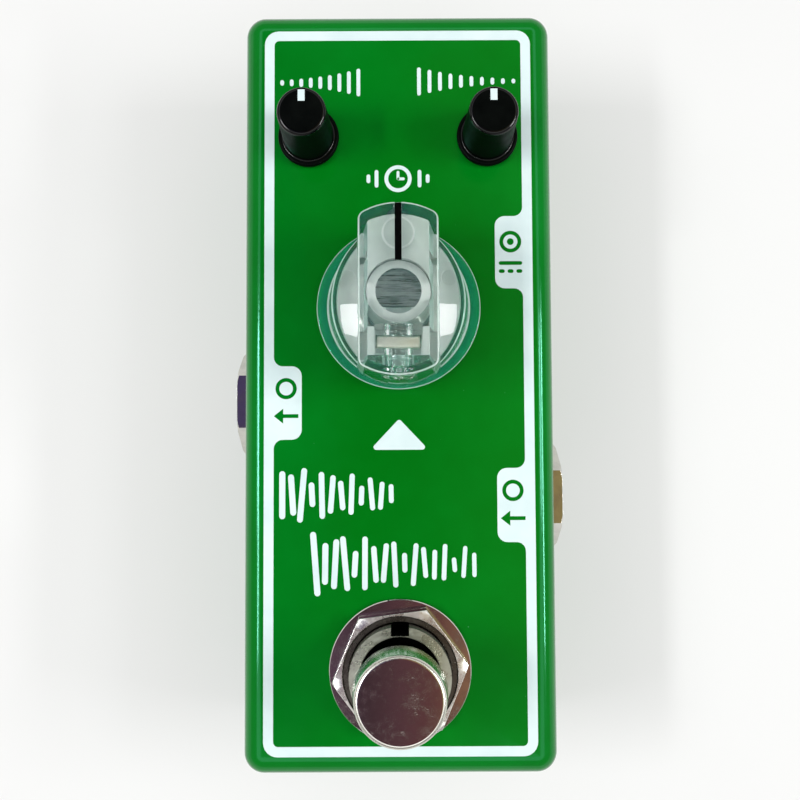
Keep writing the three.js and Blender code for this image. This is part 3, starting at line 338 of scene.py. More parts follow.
paints = {
    "enamel": enamel(),
    "coverEnamel": coverEnamel(),
    "ink": printInk(),
    "blackMoulding": knobBlack("blackMoulding", (0.0008, 0.001, 0.001), (0.0016, 0.002, 0.002), (0.2, 0.22, 0.22),
                               (0.08, 0.16), 0.4, 0.3, 0.7, 0.002),
    "dullMoulding": knobBlack("dullMoulding", (0.0008, 0.0013, 0.0012), (0.0016, 0.0024, 0.002), (0.1, 0.11, 0.11),
                              (0.3, 0.42), 0, 0.03, 1, 0.003),
    "mattBlack": plainPlastic("mattBlack", (0.011, 0.011, 0.012), (0.02, 0.02, 0.022), (0.38, 0.52), (0.22, 3, 0.7), 0.01),
    # pointerBlack: the clear knob's black pointer, and painted shade inside the footswitch's bushing, in its bore and
    # keyway
    "pointerBlack": plainPlastic("pointerBlack", (0.0008, 0.0008, 0.0009), (0.003, 0.003, 0.003), (0.55, 0.75),
                                 (0.2, 3, 0.7), 0.004, False, 0),
    "greyMoulding": plainPlastic("greyMoulding", (0.035, 0.037, 0.04), (0.05, 0.053, 0.057), (0.4, 0.55),
                                 (0.3, 3, 0.7), 0.008),
    "chip": plainPlastic("chipBlack", (0.01, 0.01, 0.011), (0.019, 0.019, 0.021), (0.5, 0.66), (0.15, 2, 0.8), 0.008, False),
    "nickel": nickelPlate("nickelPlate", (0.77, 0.74, 0.69), 0.05, 0.16),
    "nutNickel": nickelPlate("nutNickel", (0.97, 0.95, 0.9), 0.22, 0.38),
    "bushingNickel": nickelPlate("bushingNickel", (0.68, 0.71, 0.6), 0.26, 0.42),
    # satinNickel: a darker satin nickel for the plunger cap's side, a painted shade on it
    "satinNickel": nickelPlate("satinNickel", (0.6, 0.6, 0.52), 0.2, 0.3),
    "paleNut": nickelPlate("paleNut", (1.0, 0.92, 0.82), 0.4, 0.55),
    # darkSteel: a dark steel that is painted shade in the footswitch, on the nut's counterbore floor, the bushing's
    # threads and the plunger's stem
    "darkSteel": nickelPlate("darkSteel", (0.15, 0.14, 0.12), 0.24, 0.38),
    "rimNickel": nickelPlate("rimNickel", (0.72, 0.71, 0.63), 0.22, 0.32),
    "screwSteel": brushedMetal("screwSteel", (0.42, 0.42, 0.4), (1, 1, 1), 0.36),
    "zinc": brushedMetal("zincPlate", (0.62, 0.63, 0.65), (1, 1, 6), 0.32),
    "brass": brushedMetal("brassStrip", (0.72, 0.56, 0.26), (1, 5, 1), 0.28),
    "aluminium": brushedMetal("turnedAluminium", (0.47, 0.47, 0.5), (0.08, 1, 1), 0.3, 0.26, 0.45),
    "acrylic": clearAcrylic("clearAcrylic", 0.05, (0.1, 0.6, 0.5), 0.0, 0.0),
    "frosted": clearAcrylic("frostedAcrylic", 0.8, (0.87, 0.94, 0.9), 0.0, 1.0),
    # knobWall: a mint painted light on the bar's inner flanks, for the light bands seen through its walls
    "knobWall": clearAcrylic("wallPaintedLight", 0.5, (0.66, 0.93, 0.85), 0.0, 0.4),
    # knobEdge: a white-mint painted highlight on the knob's rounded edges, for the bright lines along them
    "knobEdge": clearAcrylic("edgePaintedHighlight", 0.5, (0.8, 0.97, 0.9), 0.05, 0.6),
    "knobFlange": clearAcrylic("knobFlangeAcrylic", 0.16, (0.0, 0.75, 0.38), 0.0, 0.0, (0.2, 1.0, 0.85)),
    # knobBoss: a milky grey layer, partly a frosted mould surface and partly painted light that whitens the boss ring
    # and the rib walls
    "knobBoss": clearAcrylic("bossFrostAndPaintedLight", 0.55, (0.85, 0.9, 0.88), 0.0, 1.0),
    # knobMark: a white painted highlight for bright rings and outlines in the knob, and painted light on the shaft pad
    "knobMark": clearAcrylic("markPaintedHighlight", 0.9, (0.97, 1.0, 0.98), 0.0, 1.0),
    "lamp": clearLamp(),
    "board": solderMask(),
    "redWire": insulation("redInsulation", (0.42, 0.012, 0.012)),
    "blackWire": insulation("blackInsulation", (0.012, 0.012, 0.012)),
}
print("finishes made")


# Mesh tools: every shape is drawn in mm and brought to metres when its piece is finished
def arc(cx, cz, radius, start, end, steps=6):
    angles = [math.radians(start + (end - start) * i / steps) for i in range(steps + 1)]
    return [(cx + radius * math.cos(a), cz + radius * math.sin(a)) for a in angles]


def spun(profile, steps):
    shape = bmesh.new()
    verts = [shape.verts.new((r, 0, z)) for r, z in profile]
    edges = [shape.edges.new(pair) for pair in zip(verts, verts[1:])]
    bmesh.ops.spin(
        shape, geom=verts + edges, cent=(0, 0, 0), axis=(0, 0, 1),
        angle=math.tau, steps=steps, use_merge=True, use_duplicate=False,
    )
    bmesh.ops.remove_doubles(shape, verts=shape.verts, dist=1e-4)
    bmesh.ops.recalc_face_normals(shape, faces=shape.faces)
    return shape


def block(x0, x1, y0, y1, z0, z1):
    shape = bmesh.new()
    bmesh.ops.create_cube(shape, size=1)
    bmesh.ops.scale(shape, vec=(x1 - x0, y1 - y0, z1 - z0), verts=shape.verts)
    bmesh.ops.translate(shape, vec=((x0 + x1) / 2, (y0 + y1) / 2, (z0 + z1) / 2), verts=shape.verts)
    return shape


def bevelled(shape, edges, width, segments, paint=0):
    made = bmesh.ops.bevel(
        shape, geom=edges, offset=width, offset_type="OFFSET", segments=segments,
        profile=0.5, affect="EDGES", material=-1, clamp_overlap=True,
    )
    for face in made["faces"]:
        face.material_index = paint
    return shape


def uprights(shape):
    return [e for e in shape.edges if (e.verts[0].co - e.verts[1].co).xy.length < 1e-5]


def rimAt(shape, z):
    return [e for e in shape.edges if all(abs(v.co.z - z) < 1e-5 for v in e.verts)]


def rod(radius, z0, z1, x=0, y=0, steps=48, topRadius=None):
    shape = bmesh.new()
    bmesh.ops.create_cone(
        shape, cap_ends=True, segments=steps, radius1=radius,
        radius2=radius if topRadius is None else topRadius, depth=z1 - z0,
    )
    bmesh.ops.translate(shape, vec=(x, y, (z0 + z1) / 2), verts=shape.verts)
    return shape


def moved(shape, x=0, y=0, z=0):
    bmesh.ops.translate(shape, vec=(x, y, z), verts=shape.verts)
    return shape


def turnedBy(shape, degrees, about="Z"):
    turn = Matrix.Rotation(math.radians(degrees), 3, about)
    bmesh.ops.rotate(shape, cent=(0, 0, 0), matrix=turn, verts=shape.verts)
    return shape


# lays a shape made along z along another axis, then shifts it
def turnedTo(shape, axis, shift):
    turn = {"x": (90, "Y"), "-x": (-90, "Y"), "-y": (90, "X")}[axis]
    return moved(turnedBy(shape, *turn), *shift)


# Faces get one of their piece's further paints, and keep it through a boolean. The test is told where a face
# looks and where it lies; keep leaves faces alone that already have a further paint.
def painted(shape, index=1, test=lambda facing, at: True, keep=False):
    for face in shape.faces:
        if test(face.normal, face.calc_center_median()) and not (keep and face.material_index):
            face.material_index = index
    return shape


# a test for painted: a face's slant is 0 on a wall and 1 on a floor
wall, level = 0.1, 0.9


def slanted(low, high=2.0):
    return lambda facing, at: low <= abs(facing.z) < high


mostPaints = 7  # a boolean loses the paints that its holders have no room for


def holder(shape, paints=(None,) * mostPaints):
    mesh = bpy.data.meshes.new("holder")
    for paint in paints:
        mesh.materials.append(paint)
    shape.to_mesh(mesh)
    shape.free()
    return placed("holder", mesh)


# one boolean after another; the shapes given are used up
def combined(shape, others, operation):
    for other in others:
        first, second = holder(shape), holder(other)
        step = first.modifiers.new("combine", "BOOLEAN")
        step.operation, step.object, step.solver = operation, second, "EXACT"
        shape = bmesh.new()
        shape.from_object(first, bpy.context.evaluated_depsgraph_get())
        for thing in (first, second):
            mesh = thing.data
            bpy.data.objects.remove(thing)
            bpy.data.meshes.remove(mesh)
    return shape


def cut(shape, *others):
    return combined(shape, others, "DIFFERENCE")


def joined(shape, *others):
    return combined(shape, others, "UNION")


def common(shape, *others):
    return combined(shape, others, "INTERSECT")


# a finished piece; edge is the width in mm of the bevel on its sharp edges
def piece(name, shape, paint, body, slot, replaces=(), edge=0.0, sharp=32):
    bmesh.ops.remove_doubles(shape, verts=shape.verts, dist=1e-4)
    bmesh.ops.scale(shape, vec=(mm, mm, mm), verts=shape.verts)
    thing = holder(shape, [paints[each] for each in paint.split()])
    thing.name = thing.data.name = name
    thing.data.polygons.foreach_set("use_smooth", [True] * len(thing.data.polygons))
    thing.data.set_sharp_from_angle(angle=math.radians(sharp))
    if edge:
        soften = thing.modifiers.new("edges", "BEVEL")
        soften.width, soften.segments, soften.limit_method = edge * mm, 2, "ANGLE"
        soften.angle_limit = math.radians(sharp)
        soften.use_clamp_overlap = True
        soften.harden_normals = True
    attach(thing, body)
    if replaces:
        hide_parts(*replaces)
    return thing


def plated(name, shape, node, paint="nickel", **extra):
    return piece(name, shape, paint, "housing", "plated_steel", [node], **extra)


# lowest corner, highest corner and centre of a CAD node in mm
def seat(node):
    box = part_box(node)
    low, high = ([value / mm for value in corner] for corner in box)
    return low, high, [(a + b) / 2 / mm for a, b in zip(*box)]


# Case: rounded cast box with its holes, cavity and screw posts
caseLow, caseHigh = seat("case_shell")[:2]
switchY = seat("footswitch_washer")[2][1]
timeY = seat("time_pot_washer")[2][1]
roof = caseHigh[2]
caseFacts = Facts(
    corner=2.5, roofEdge=2.4, footEdge=0.25, wall=2.0, roofThickness=2.2,
    postInset=4.0, postRadius=3.0, screwHole=1.6, screwDepth=12.0, drill=4.0,
    roofHoles={"level_knob": 2.6, "repeat_knob": 2.6, "time_pot_washer": 3.7, "status_led": 1.7, "footswitch_washer": 6.2},
    wallHoles={"output_jack_nut": ("-x", 4.7), "input_jack_nut": ("x", 4.7), "power_jack_pin": ("x", 4.2)},
)


def roundedBlock(halfX, halfY, z0, z1, corner, topEdge=0.0, footEdge=0.0, steps=8):
    shape = block(-halfX, halfX, -halfY, halfY, z0, z1)
    bevelled(shape, uprights(shape), corner, steps)
    if topEdge:
        bevelled(shape, rimAt(shape, z1), topEdge, steps)
    if footEdge:
        bevelled(shape, rimAt(shape, z0), footEdge, 2)
    return shape


def makeCase():
    c = caseFacts
    halfX, halfY, foot = caseHigh[0], caseHigh[1], caseLow[2]
    shell = roundedBlock(halfX, halfY, foot, roof, c.corner, c.roofEdge, c.footEdge, 10)
    inside = roundedBlock(halfX - c.wall, halfY - c.wall, foot - 1, roof - c.roofThickness, c.corner / 2)
    posts = [(sx * (halfX - c.postInset), sy * (halfY - c.postInset)) for sx in (-1, 1) for sy in (-1, 1)]
    inside = cut(inside, *[rod(c.postRadius, foot, roof, x, y) for x, y in posts])
    holes = [rod(c.screwHole, foot - 1, foot + c.screwDepth, x, y, 24) for x, y in posts]
    for node, radius in c.roofHoles.items():
        x, y = seat(node)[2][:2]
        holes.append(rod(radius, roof - c.drill, roof + 1, x, y))
    for node, (axis, radius) in c.wallHoles.items():
        y, z = seat(node)[2][1:]
        holes.append(turnedTo(rod(radius, halfX - c.drill, halfX + 1), axis, (0, y, z)))
    shell = cut(shell, inside, *holes)
    piece("caseBody", shell, "enamel", "housing", "case_paint", ["case_shell"], sharp=24)


makeCase()
print("case made")


# Base plate and its screws
def makeCover():
    c = Facts(topEdge=0.15, footEdge=0.3, head=3.1, hole=1.7, cone=1.4)
    low, high = seat("bottom_cover")[:2]
    plate = roundedBlock(high[0], high[1], low[2], high[2], caseFacts.corner, c.topEdge, c.footEdge)
    for i in range(4):
        x, y = seat(f"cover_screw_{i + 1}")[2][:2]
        sink = rod(c.head, low[2] - 0.01, low[2] + c.cone, x, y, topRadius=c.hole)
        plate = cut(plate, sink, rod(c.hole, low[2] - 1, high[2] + 1, x, y))
    piece("basePlate", plate, "coverEnamel", "housing", "cover_paint", ["bottom_cover"], sharp=24)


def makeScrew(i):
    node = f"cover_screw_{i + 1}"
    low, high, (x, y, _) = seat(node)
    s = Facts(
        head=2.8, shank=1.5, core=1.2, cone=1.2, tip=0.7, pitch=0.5,
        slot=0.32, slotLength=1.55, depth=0.8, turn=12,
    )
    thread = []
    level = low[2] + s.cone + 0.4
    while level < high[2] - 0.8:
        thread += [(s.core, level), (s.shank, level + s.pitch / 2)]
        level += s.pitch
    profile = [(0, low[2]), (s.head - 0.15, low[2]), (s.head, low[2] + 0.1), (s.shank, low[2] + s.cone)]
    profile += thread + [(s.core, high[2] - 0.3), (s.tip, high[2]), (0, high[2])]
    body = spun(profile, 36)
    for turn in (0, 90):
        arm = block(-s.slotLength, s.slotLength, -s.slot, s.slot, low[2] - 1, low[2] + s.depth)
        body = cut(body, turnedBy(arm, turn + s.turn))
    piece(f"coverScrew{i + 1}", moved(body, x, y), "zinc", "housing", "zinc_steel", [node])


makeCover()
for number in range(4):
    makeScrew(number)
print("base plate and screws made")


# Printed marks on the roof: frame line, tabs, triangle and plain signs
printFacts = Facts(
    thickness=0.03, halfWidth=16.45, halfLength=44.3, line=1.2, outerCorner=1.7, innerCorner=0.6,
    tabFillet=1.1, tabCorner=1.2, tabInner=11.85, tabLength=8.95,
    powerTabY=16.5, inputTabY=-14.4, outputTabY=-1.92,
    apexY=-3.9, baseY=-7.67, baseHalf=3.55, triangleCorner=0.32, stroke=0.47, signX=13.75,
    # rows of strokes: left end, middle line, number, pitch, first and last height
    level=(-14.3, 37.8, 9, 1.18, 0.7, 3.5), repeat=(2.65, 37.9, 10, 1.3, 3.55, 0.6), clockY=25.7,
    # left end, middle line, number and tallest height of each row that dies away
    echoes=((-14.2, -13.1, 12, 7.4), (-10.2, -21.4, 17, 7.8)),
)


# corners are (x, y, radius), in order round the outline
def roundedPath(corners, steps=6):
    points = []
    for i, (x, y, radius) in enumerate(corners):
        here = Vector((x, y))
        before = (Vector(corners[i - 1][:2]) - here).normalized()
        after = (Vector(corners[(i + 1) % len(corners)][:2]) - here).normalized()
        half = math.acos(max(-1, min(1, before.dot(after)))) / 2
        if not radius or abs(half - math.pi / 2) < 1e-3:
            points.append((x, y))
            continue
        middle = here + (before + after).normalized() * (radius / math.sin(half))
        start = here + before * (radius / math.tan(half)) - middle
        end = here + after * (radius / math.tan(half)) - middle
        sweep = -start.angle_signed(end)
        for step in range(steps + 1):
            points.append(tuple(middle + Matrix.Rotation(sweep * step / steps, 2) @ start))
    return points


# a thin sheet with the given outlines; an outline inside another is a hole
def flatSheet(name, outlines, z, thickness):
    curve = bpy.data.curves.new(name, "CURVE")
    curve.dimensions, curve.fill_mode, curve.extrude = "2D", "BOTH", thickness / 2
    for outline in outlines:
        spline = curve.splines.new("POLY")
        spline.points.add(len(outline) - 1)
        spline.use_cyclic_u = True
        for point, (x, y) in zip(spline.points, outline):
            point.co = (x, y, 0, 1)
    thing = placed(name, curve)
    mesh = bpy.data.meshes.new_from_object(thing.evaluated_get(bpy.context.evaluated_depsgraph_get()))
    shape = bmesh.new()
    shape.from_mesh(mesh)
    bpy.data.objects.remove(thing)
    bpy.data.curves.remove(curve)
    bpy.data.meshes.remove(mesh)
    bmesh.ops.remove_doubles(shape, verts=shape.verts, dist=1e-4)
    bmesh.ops.recalc_face_normals(shape, faces=shape.faces)
    return moved(shape, z=z + thickness / 2)


# outline of a stroke with round ends, centred at x, y
def bar(x, y, length, width, degrees=90):
    half = max(length / 2 - width / 2, 0.001)
    points = arc(half, 0, width / 2, -90, 90, 5) + arc(-half, 0, width / 2, 90, 270, 5)
    turn = Matrix.Rotation(math.radians(degrees), 2)
    return [tuple(turn @ Vector(p) + Vector((x, y))) for p in points]


def circle(x, y, radius, steps=32):
    return arc(x, y, radius, 0, 360 * (steps - 1) / steps, steps - 1)


# outline of an arrow to the left
def arrow(x, y, length, width, head):
    half, thin = length / 2, width / 2
    shape = [(-half, -thin), (half - head, -thin), (half - head, -head * 0.8), (half, 0),
             (half - head, head * 0.8), (half - head, thin), (-half, thin)]
    return [(x - px, y - py) for px, py in shape]


# the inner boundary's way round one tab, from low y to high y
def tabCorners(side, middle):
    p = printFacts
    wall = side * (p.halfWidth - p.line)
    inner = side * p.tabInner
    half = p.tabLength / 2
    return [(wall, middle - half, p.tabFillet), (inner, middle - half, p.tabCorner),
            (inner, middle + half, p.tabCorner), (wall, middle + half, p.tabFillet)]


def frameOutlines():
    p = printFacts
    w, h, r = p.halfWidth, p.halfLength, p.outerCorner
    iw, ih, ir = w - p.line, h - p.line, p.innerCorner
    outer = roundedPath([(w, -h, r), (w, h, r), (-w, h, r), (-w, -h, r)])
    inner = [(iw, -ih, ir)] + tabCorners(1, p.inputTabY) + tabCorners(1, p.powerTabY) + [(iw, ih, ir)]
    inner += [(-iw, ih, ir)] + tabCorners(-1, p.outputTabY)[::-1] + [(-iw, -ih, ir)]
    return [outer, roundedPath(inner)]


# signs cut out of the tabs, so that the enamel shows through them
def tabSigns():
    p = printFacts
    s, x = p.stroke, p.signX
    signs = []
    for side, middle in ((1, p.inputTabY), (-1, p.outputTabY)):
        signs += [circle(side * x, middle + 1.75, 1.3), circle(side * x, middle + 1.75, 1.3 - s)]
        signs.append(arrow(side * x, middle - 1.6, 3.0, s, 1.15))
    middle = p.powerTabY
    signs += [circle(x, middle + 1.3, radius) for radius in (1.35, 1.35 - s, 0.42)]
    signs.append(bar(x, middle - 1.35, 2.9, s, 0))
    signs += [bar(x + shift, middle - 2.35, 0.75, s, 0) for shift in (-1.08, 0, 1.08)]
    return signs


# a row of strokes about one middle line, its height going from first to last
def strokeRow(left, middle, count, pitch, first, last):
    s = printFacts.stroke
    heights = [first * (last / first) ** (i / (count - 1)) for i in range(count)]
    return [bar(left + pitch * i, middle, max(height, s * 1.05), s) for i, height in enumerate(heights)]


def timeSign():
    s, y = printFacts.stroke, printFacts.clockY
    signs = [circle(0, y, 1.68), circle(0, y, 1.68 - s)]
    signs += [bar(0, y + 0.4, 1.15, 0.36), bar(0.36, y - 0.02, 0.95, 0.36, 0)]
    for side in (-1, 1):
        signs += [bar(side * 2.65, y, 2.2, s), bar(side * 3.65, y, 1.1, s)]
    return signs


# two rows of hand-drawn strokes, each row dying away like an echo
def echoSign():
    signs = []
    for row, (left, middle, count, tallest) in enumerate(printFacts.echoes):
        for i in range(count):
            swell = abs(math.sin(1.9 * i + 0.7 + row)) * 0.6 + 0.4
            height = tallest * swell * (1 - 0.55 * i / count)
            lean = 90 + 5 * math.sin(2.3 * i + row)
            signs.append(bar(left + 1.2 * i, middle + 0.3 * math.sin(3.1 * i), height, 0.74 - 0.014 * i, lean))
    return signs


def makePrint():
    p = printFacts
    corners = ((-p.baseHalf, p.baseY), (p.baseHalf, p.baseY), (0, p.apexY))
    sheets = {
        "printedFrame": frameOutlines() + tabSigns(),
        "printedTriangle": [roundedPath([(x, y, p.triangleCorner) for x, y in corners])],
        "printedLevelSign": strokeRow(*p.level),
        "printedRepeatSign": strokeRow(*p.repeat),
        "printedTimeSign": timeSign(),
        "printedEchoSign": echoSign(),
    }
    for name, outlines in sheets.items():
        piece(name, flatSheet(name, outlines, roof, p.thickness), "ink", "housing", "case_paint")


makePrint()
print("print made")


# Small knobs
smallKnobFacts = Facts(
    flange=3.72, flangeHeight=0.85, foot=3.08, neck=2.84, edge=0.42, bore=2.06, boreDepth=7.0,
    pointerWidth=0.85, pointerStart=1.15, pointerDepth=0.15,
)


def makeSmallKnob(name):
    k = smallKnobFacts
    node, body = f"{name}_knob", f"{name}_control"
    low, high, (x, y, _) = seat(node)
    foot, top = low[2], high[2]
    rim, ceiling = foot + k.flangeHeight, foot + k.boreDepth
    profile = [(0, ceiling), (k.bore, ceiling), (k.bore, foot + 0.2), (k.bore + 0.2, foot)]
    profile += [(k.flange - 0.2, foot), *arc(k.flange - 0.2, foot + 0.2, 0.2, -60, 0, 3)]
    profile += arc(k.flange - 0.28, rim - 0.28, 0.28, 0, 90, 5) + arc(k.foot + 0.16, rim + 0.16, 0.16, 270, 190, 4)
    profile += arc(k.neck - k.edge, top - k.edge, k.edge, 2, 90, 8)
    profile += [(0, top)]
    shape = spun(profile, 96)
    painted(shape, 1, lambda facing, at: not rim + 0.001 < at.z < rim + 0.2 and not top - k.edge < at.z < top - 0.001)
    half = k.pointerWidth / 2
    groove = block(-half, half, k.pointerStart, k.neck + 1, top - k.pointerDepth, top + 1)
    shape = moved(cut(shape, groove), x, y)
    piece(f"{name}KnobCap", shape, "blackMoulding dullMoulding", body, "black_gloss", [node], sharp=28)
    line = block(-half + 0.02, half - 0.02, k.pointerStart + 0.02, k.neck - 0.34, top - k.pointerDepth, top - 0.01)
    bevelled(line, rimAt(line, top - 0.01), 0.04, 2)
    piece(f"{name}KnobPointer", moved(line, x, y), "ink", body, "black_gloss")


for control in ("level", "repeat"):
    makeSmallKnob(control)
print("small knobs made")


# Clear bar knob; heights are measured from its foot
knobFoot = seat("time_knob")[0][2]
knobFacts = Facts(
    flange=9.9, flangeThickness=1.1, flangeEdge=0.3, fillet=0.16,
    shoulderReach=8.65, shoulderTopReach=7.8, shoulderHalf=7.9, shoulderTop=5.9, shoulderRise=1.1,
    shoulderDome=32.0, shoulderWall=0.78, shoulderEdge=0.12,
    barTop=15.2, barHalf=4.3, barFootHalf=5.1, barReach=9.3, barFootReach=9.55, endRadius=8.0,
    barEdge=0.17, barCorner=0.55, wall=1.1, topWall=2.0, pocket=6.7, pocketTop=4.2,
    boss=3.5, bore=3.08, flat=1.6, boreTop=12.5, boreSlope=0.62, relief=0.34,
    rib=0.8, ribFoot=5.0, ribGap=0.06, frontRib=4.35, clearHalf=2.55, bossGap=0.15,
    pointerWidth=0.75, pointerStart=3.0, pointerDepth=0.3,
    screwZ=9.6, screwHole=1.53, driver=1.0, sleeve=1.7,
    nutNear=4.85, nut=4.6, nutThickness=1.25, nutPlay=0.1,
    frontMark=1.8, frontMarkY=6.2, markDepth=0.15, markSlope=0.22,
    sideMark=0.9, sideMarkX=5.75, sideMarkY=2.7, padFoot=5.4, padHeight=0.66,
)


def barOutline(half, reach, radius, steps=12):
    spread = math.degrees(math.asin(half / radius))
    away = reach - radius
    return [point for y, side in ((away, 90), (-away, 270))
            for point in arc(0, y, radius, side - spread, side + spread, steps)]


# a closed loft through rings of points; strips gives the paint of a ring's edge by its number
def lofted(rings, strips):
    shape = bmesh.new()
    rows = [[shape.verts.new(point) for point in ring] for ring in rings]
    for near, far in zip(rows, rows[1:]):
        for i in range(len(near)):
            j = (i + 1) % len(near)
            shape.faces.new((near[i], near[j], far[j], far[i])).material_index = strips.get(i, 0)
    shape.faces.new(rows[0])
    shape.faces.new(rows[-1])
    bmesh.ops.recalc_face_normals(shape, faces=shape.faces)
    return shape


# one section of the shoulders at y: a drafted wall, a rounded edge and a roof that falls away from the bar
def shoulderSection(y, inset, foot, fillet):
    k = knobFacts
    flank, half = k.barFootHalf - k.wall, k.shoulderHalf - inset
    slope = k.shoulderRise / (k.shoulderTopReach - k.barHalf)

    def wallAt(z):
        reach = k.shoulderReach + (k.shoulderTopReach - k.shoulderReach) * z / k.shoulderTop - inset
        radius = (half ** 2 + (reach - flank) ** 2) / (2 * (reach - flank))
        return reach - radius + math.sqrt(radius ** 2 - y ** 2)

    def roofAt(x):
        crown = k.shoulderTop + k.shoulderRise - inset
        return crown - slope * (x - k.barHalf) - y ** 2 / (2 * k.shoulderDome)

    top = k.shoulderTop
    for _ in range(6):  # closes in on the height where wall and roof meet
        top = roofAt(wallAt(top))
    low, corner = (wallAt(top - fillet), top - fillet), (wallAt(top), top)
    high = (corner[0] - fillet, roofAt(corner[0] - fillet))
    rounding = []
    for t in (0.25, 0.5, 0.75):
        weights = ((1 - t) ** 2, 2 * t * (1 - t), t ** 2)
        rounding.append(tuple(sum(w * p[i] for w, p in zip(weights, (low, corner, high))) for i in (0, 1)))
    rim, soft = k.flangeThickness, k.fillet
    start = [(wallAt(foot), foot)]
    if not inset:
        start = [(wallAt(rim) + soft, foot), (wallAt(rim) + soft, rim + 0.01), (wallAt(rim + soft), rim + soft)]
    right = [*start, low, *rounding, high, (3.0, roofAt(3.0))]
    return [(x, y, z) for x, z in right] + [(-x, y, z) for x, z in reversed(right)]


def shoulderLayer(inset, foot, fillet, edgePaint, steps=36):
    half = knobFacts.shoulderHalf - inset
    places = [half * math.sin(math.pi * (i / steps - 0.5)) for i in range(steps + 1)]
    rings = [shoulderSection(y, inset, foot, fillet) for y in places]
    last = len(rings[0]) - 2
    # the strips of the rounded edge, and outside also the foot's fillet, take edgePaint, which the knob uses for
    # painted highlight lines
    strips = [last // 2 - step for step in (2, 3, 4, 5)] + ([] if inset else [1])
    return lofted(rings, {i: edgePaint for strip in strips for i in (strip, last - strip)})


def barLayer(inset, z0, z1, edge=0.0, corner=0.5, edgePaint=0):
    k = knobFacts

    def sizeAt(z):
        share = z / k.barTop
        half = k.barFootHalf + (k.barHalf - k.barFootHalf) * share - inset
        return half, k.barFootReach + (k.barReach - k.barFootReach) * share - inset

    def onFlank(vert):
        return abs(abs(vert.co.x) - sizeAt(vert.co.z)[0]) < 1e-3

    shape = lofted([[(x, y, z) for x, y in barOutline(*sizeAt(z), k.endRadius)] for z in (z0, z1)], {})
    if edge:
        flanks = [e for e in shape.edges if abs(e.verts[0].co.z - e.verts[1].co.z) > 1 and all(map(onFlank, e.verts))]
        bevelled(shape, flanks, corner, 6)
        bevelled(shape, rimAt(shape, z1), edge, 4, edgePaint)
    return shape


def outerKnob():
    k = knobFacts
    rim, edge, soft = k.flangeThickness, k.flangeEdge, k.fillet
    flange = spun([(0, 0), (k.flange - edge, 0), *arc(k.flange - edge, edge, edge, -90, 0, 4),
                   *arc(k.flange - soft, rim - soft, soft, 0, 90, 4), (0, rim)], 120)
    painted(flange, 4)
    # the flange's rounded rim takes the edge paint, a painted highlight line
    painted(flange, 3, lambda facing, at: 0.1 < facing.z < 0.98)
    # the shoulders' and the bar top's rounded edges take the edge paint too: painted highlight lines
    return joined(flange, shoulderLayer(0, 0, soft, 3), barLayer(0, 0, k.barTop, k.barEdge, k.barCorner, 3))


# the hollow of the bar, of the shoulders and of the foot, with clear windows in its ceiling before and behind the nut
def knobHollow(ceiling, slotNear, slotFar):
    k = knobFacts
    rim = k.flangeThickness
    bar = barLayer(k.wall, rim, ceiling, 0.1, 0.15)
    # the bar hollow's side walls take the wall paint: painted light, a mint band through the flanks
    painted(bar, 2, lambda facing, at: abs(facing.x) > 0.8)
    painted(bar, 1, lambda facing, at: facing.y > 0.5 and abs(at.x) < 1.7)
    # the inner rounded edges of the shoulders' hollow take the edge paint: a second painted highlight line
    shoulders = shoulderLayer(k.shoulderWall, rim, k.shoulderEdge, 3)
    for shape in (bar, shoulders):
        painted(shape, 1, lambda facing, at: facing.z > 0.8, keep=True)
    mark = rod(k.frontMark + 0.07, ceiling - 0.05, ceiling + k.markDepth, 0, k.frontMarkY,
               topRadius=k.frontMark - k.markSlope)
    # the mark's slanted side takes the mark paint, a painted highlight ring
    painted(painted(mark), 6, slanted(0, level))
    windows = [common(barLayer(k.wall + 0.02, ceiling - 1, ceiling + 0.03), block(-6, 6, low, high, 0, 20))
               for low, high in ((-12, slotFar - k.rib - 0.02), (slotNear + k.rib + 0.02, -k.flat))]
    return joined(rod(k.pocket, -1, k.pocketTop, steps=72), shoulders, bar, mark, *windows)


# a round bar along y at the set screw's height
def crossRod(radius, start, end, steps=32):
    return turnedTo(rod(radius, start, end, steps=steps), "-y", (0, 0, knobFacts.screwZ))


# boss, cross ribs, and the clear block round the sleeve
def knobRibs(ceiling, slotNear, slotFar):
    k = knobFacts
    half, foot, top = k.barFootHalf, k.ribFoot, ceiling - k.ribGap
    ribs = joined(
        rod(k.boss, k.pocketTop, ceiling + 0.4, steps=64),
        block(-half, half, k.frontRib - k.rib, k.frontRib, foot, top),
        block(-half, half, slotFar - k.rib, slotNear + k.rib, foot, top),
        block(-k.clearHalf, k.clearHalf, slotFar - k.rib, -k.boss - k.bossGap, foot + 0.1, ceiling + 0.5),
        crossRod(k.sleeve, 5, k.barFootReach),
    )
    painted(ribs, 1, lambda facing, at: facing.z < -0.8)
    # the ribs' and the boss's walls take the boss paint: frosted, with painted light on them
    painted(ribs, 5, lambda facing, at: abs(facing.z) < 0.5 and at.y > -k.boss)
    return common(ribs, barLayer(k.wall / 2, 0, k.barTop - k.topWall / 2))


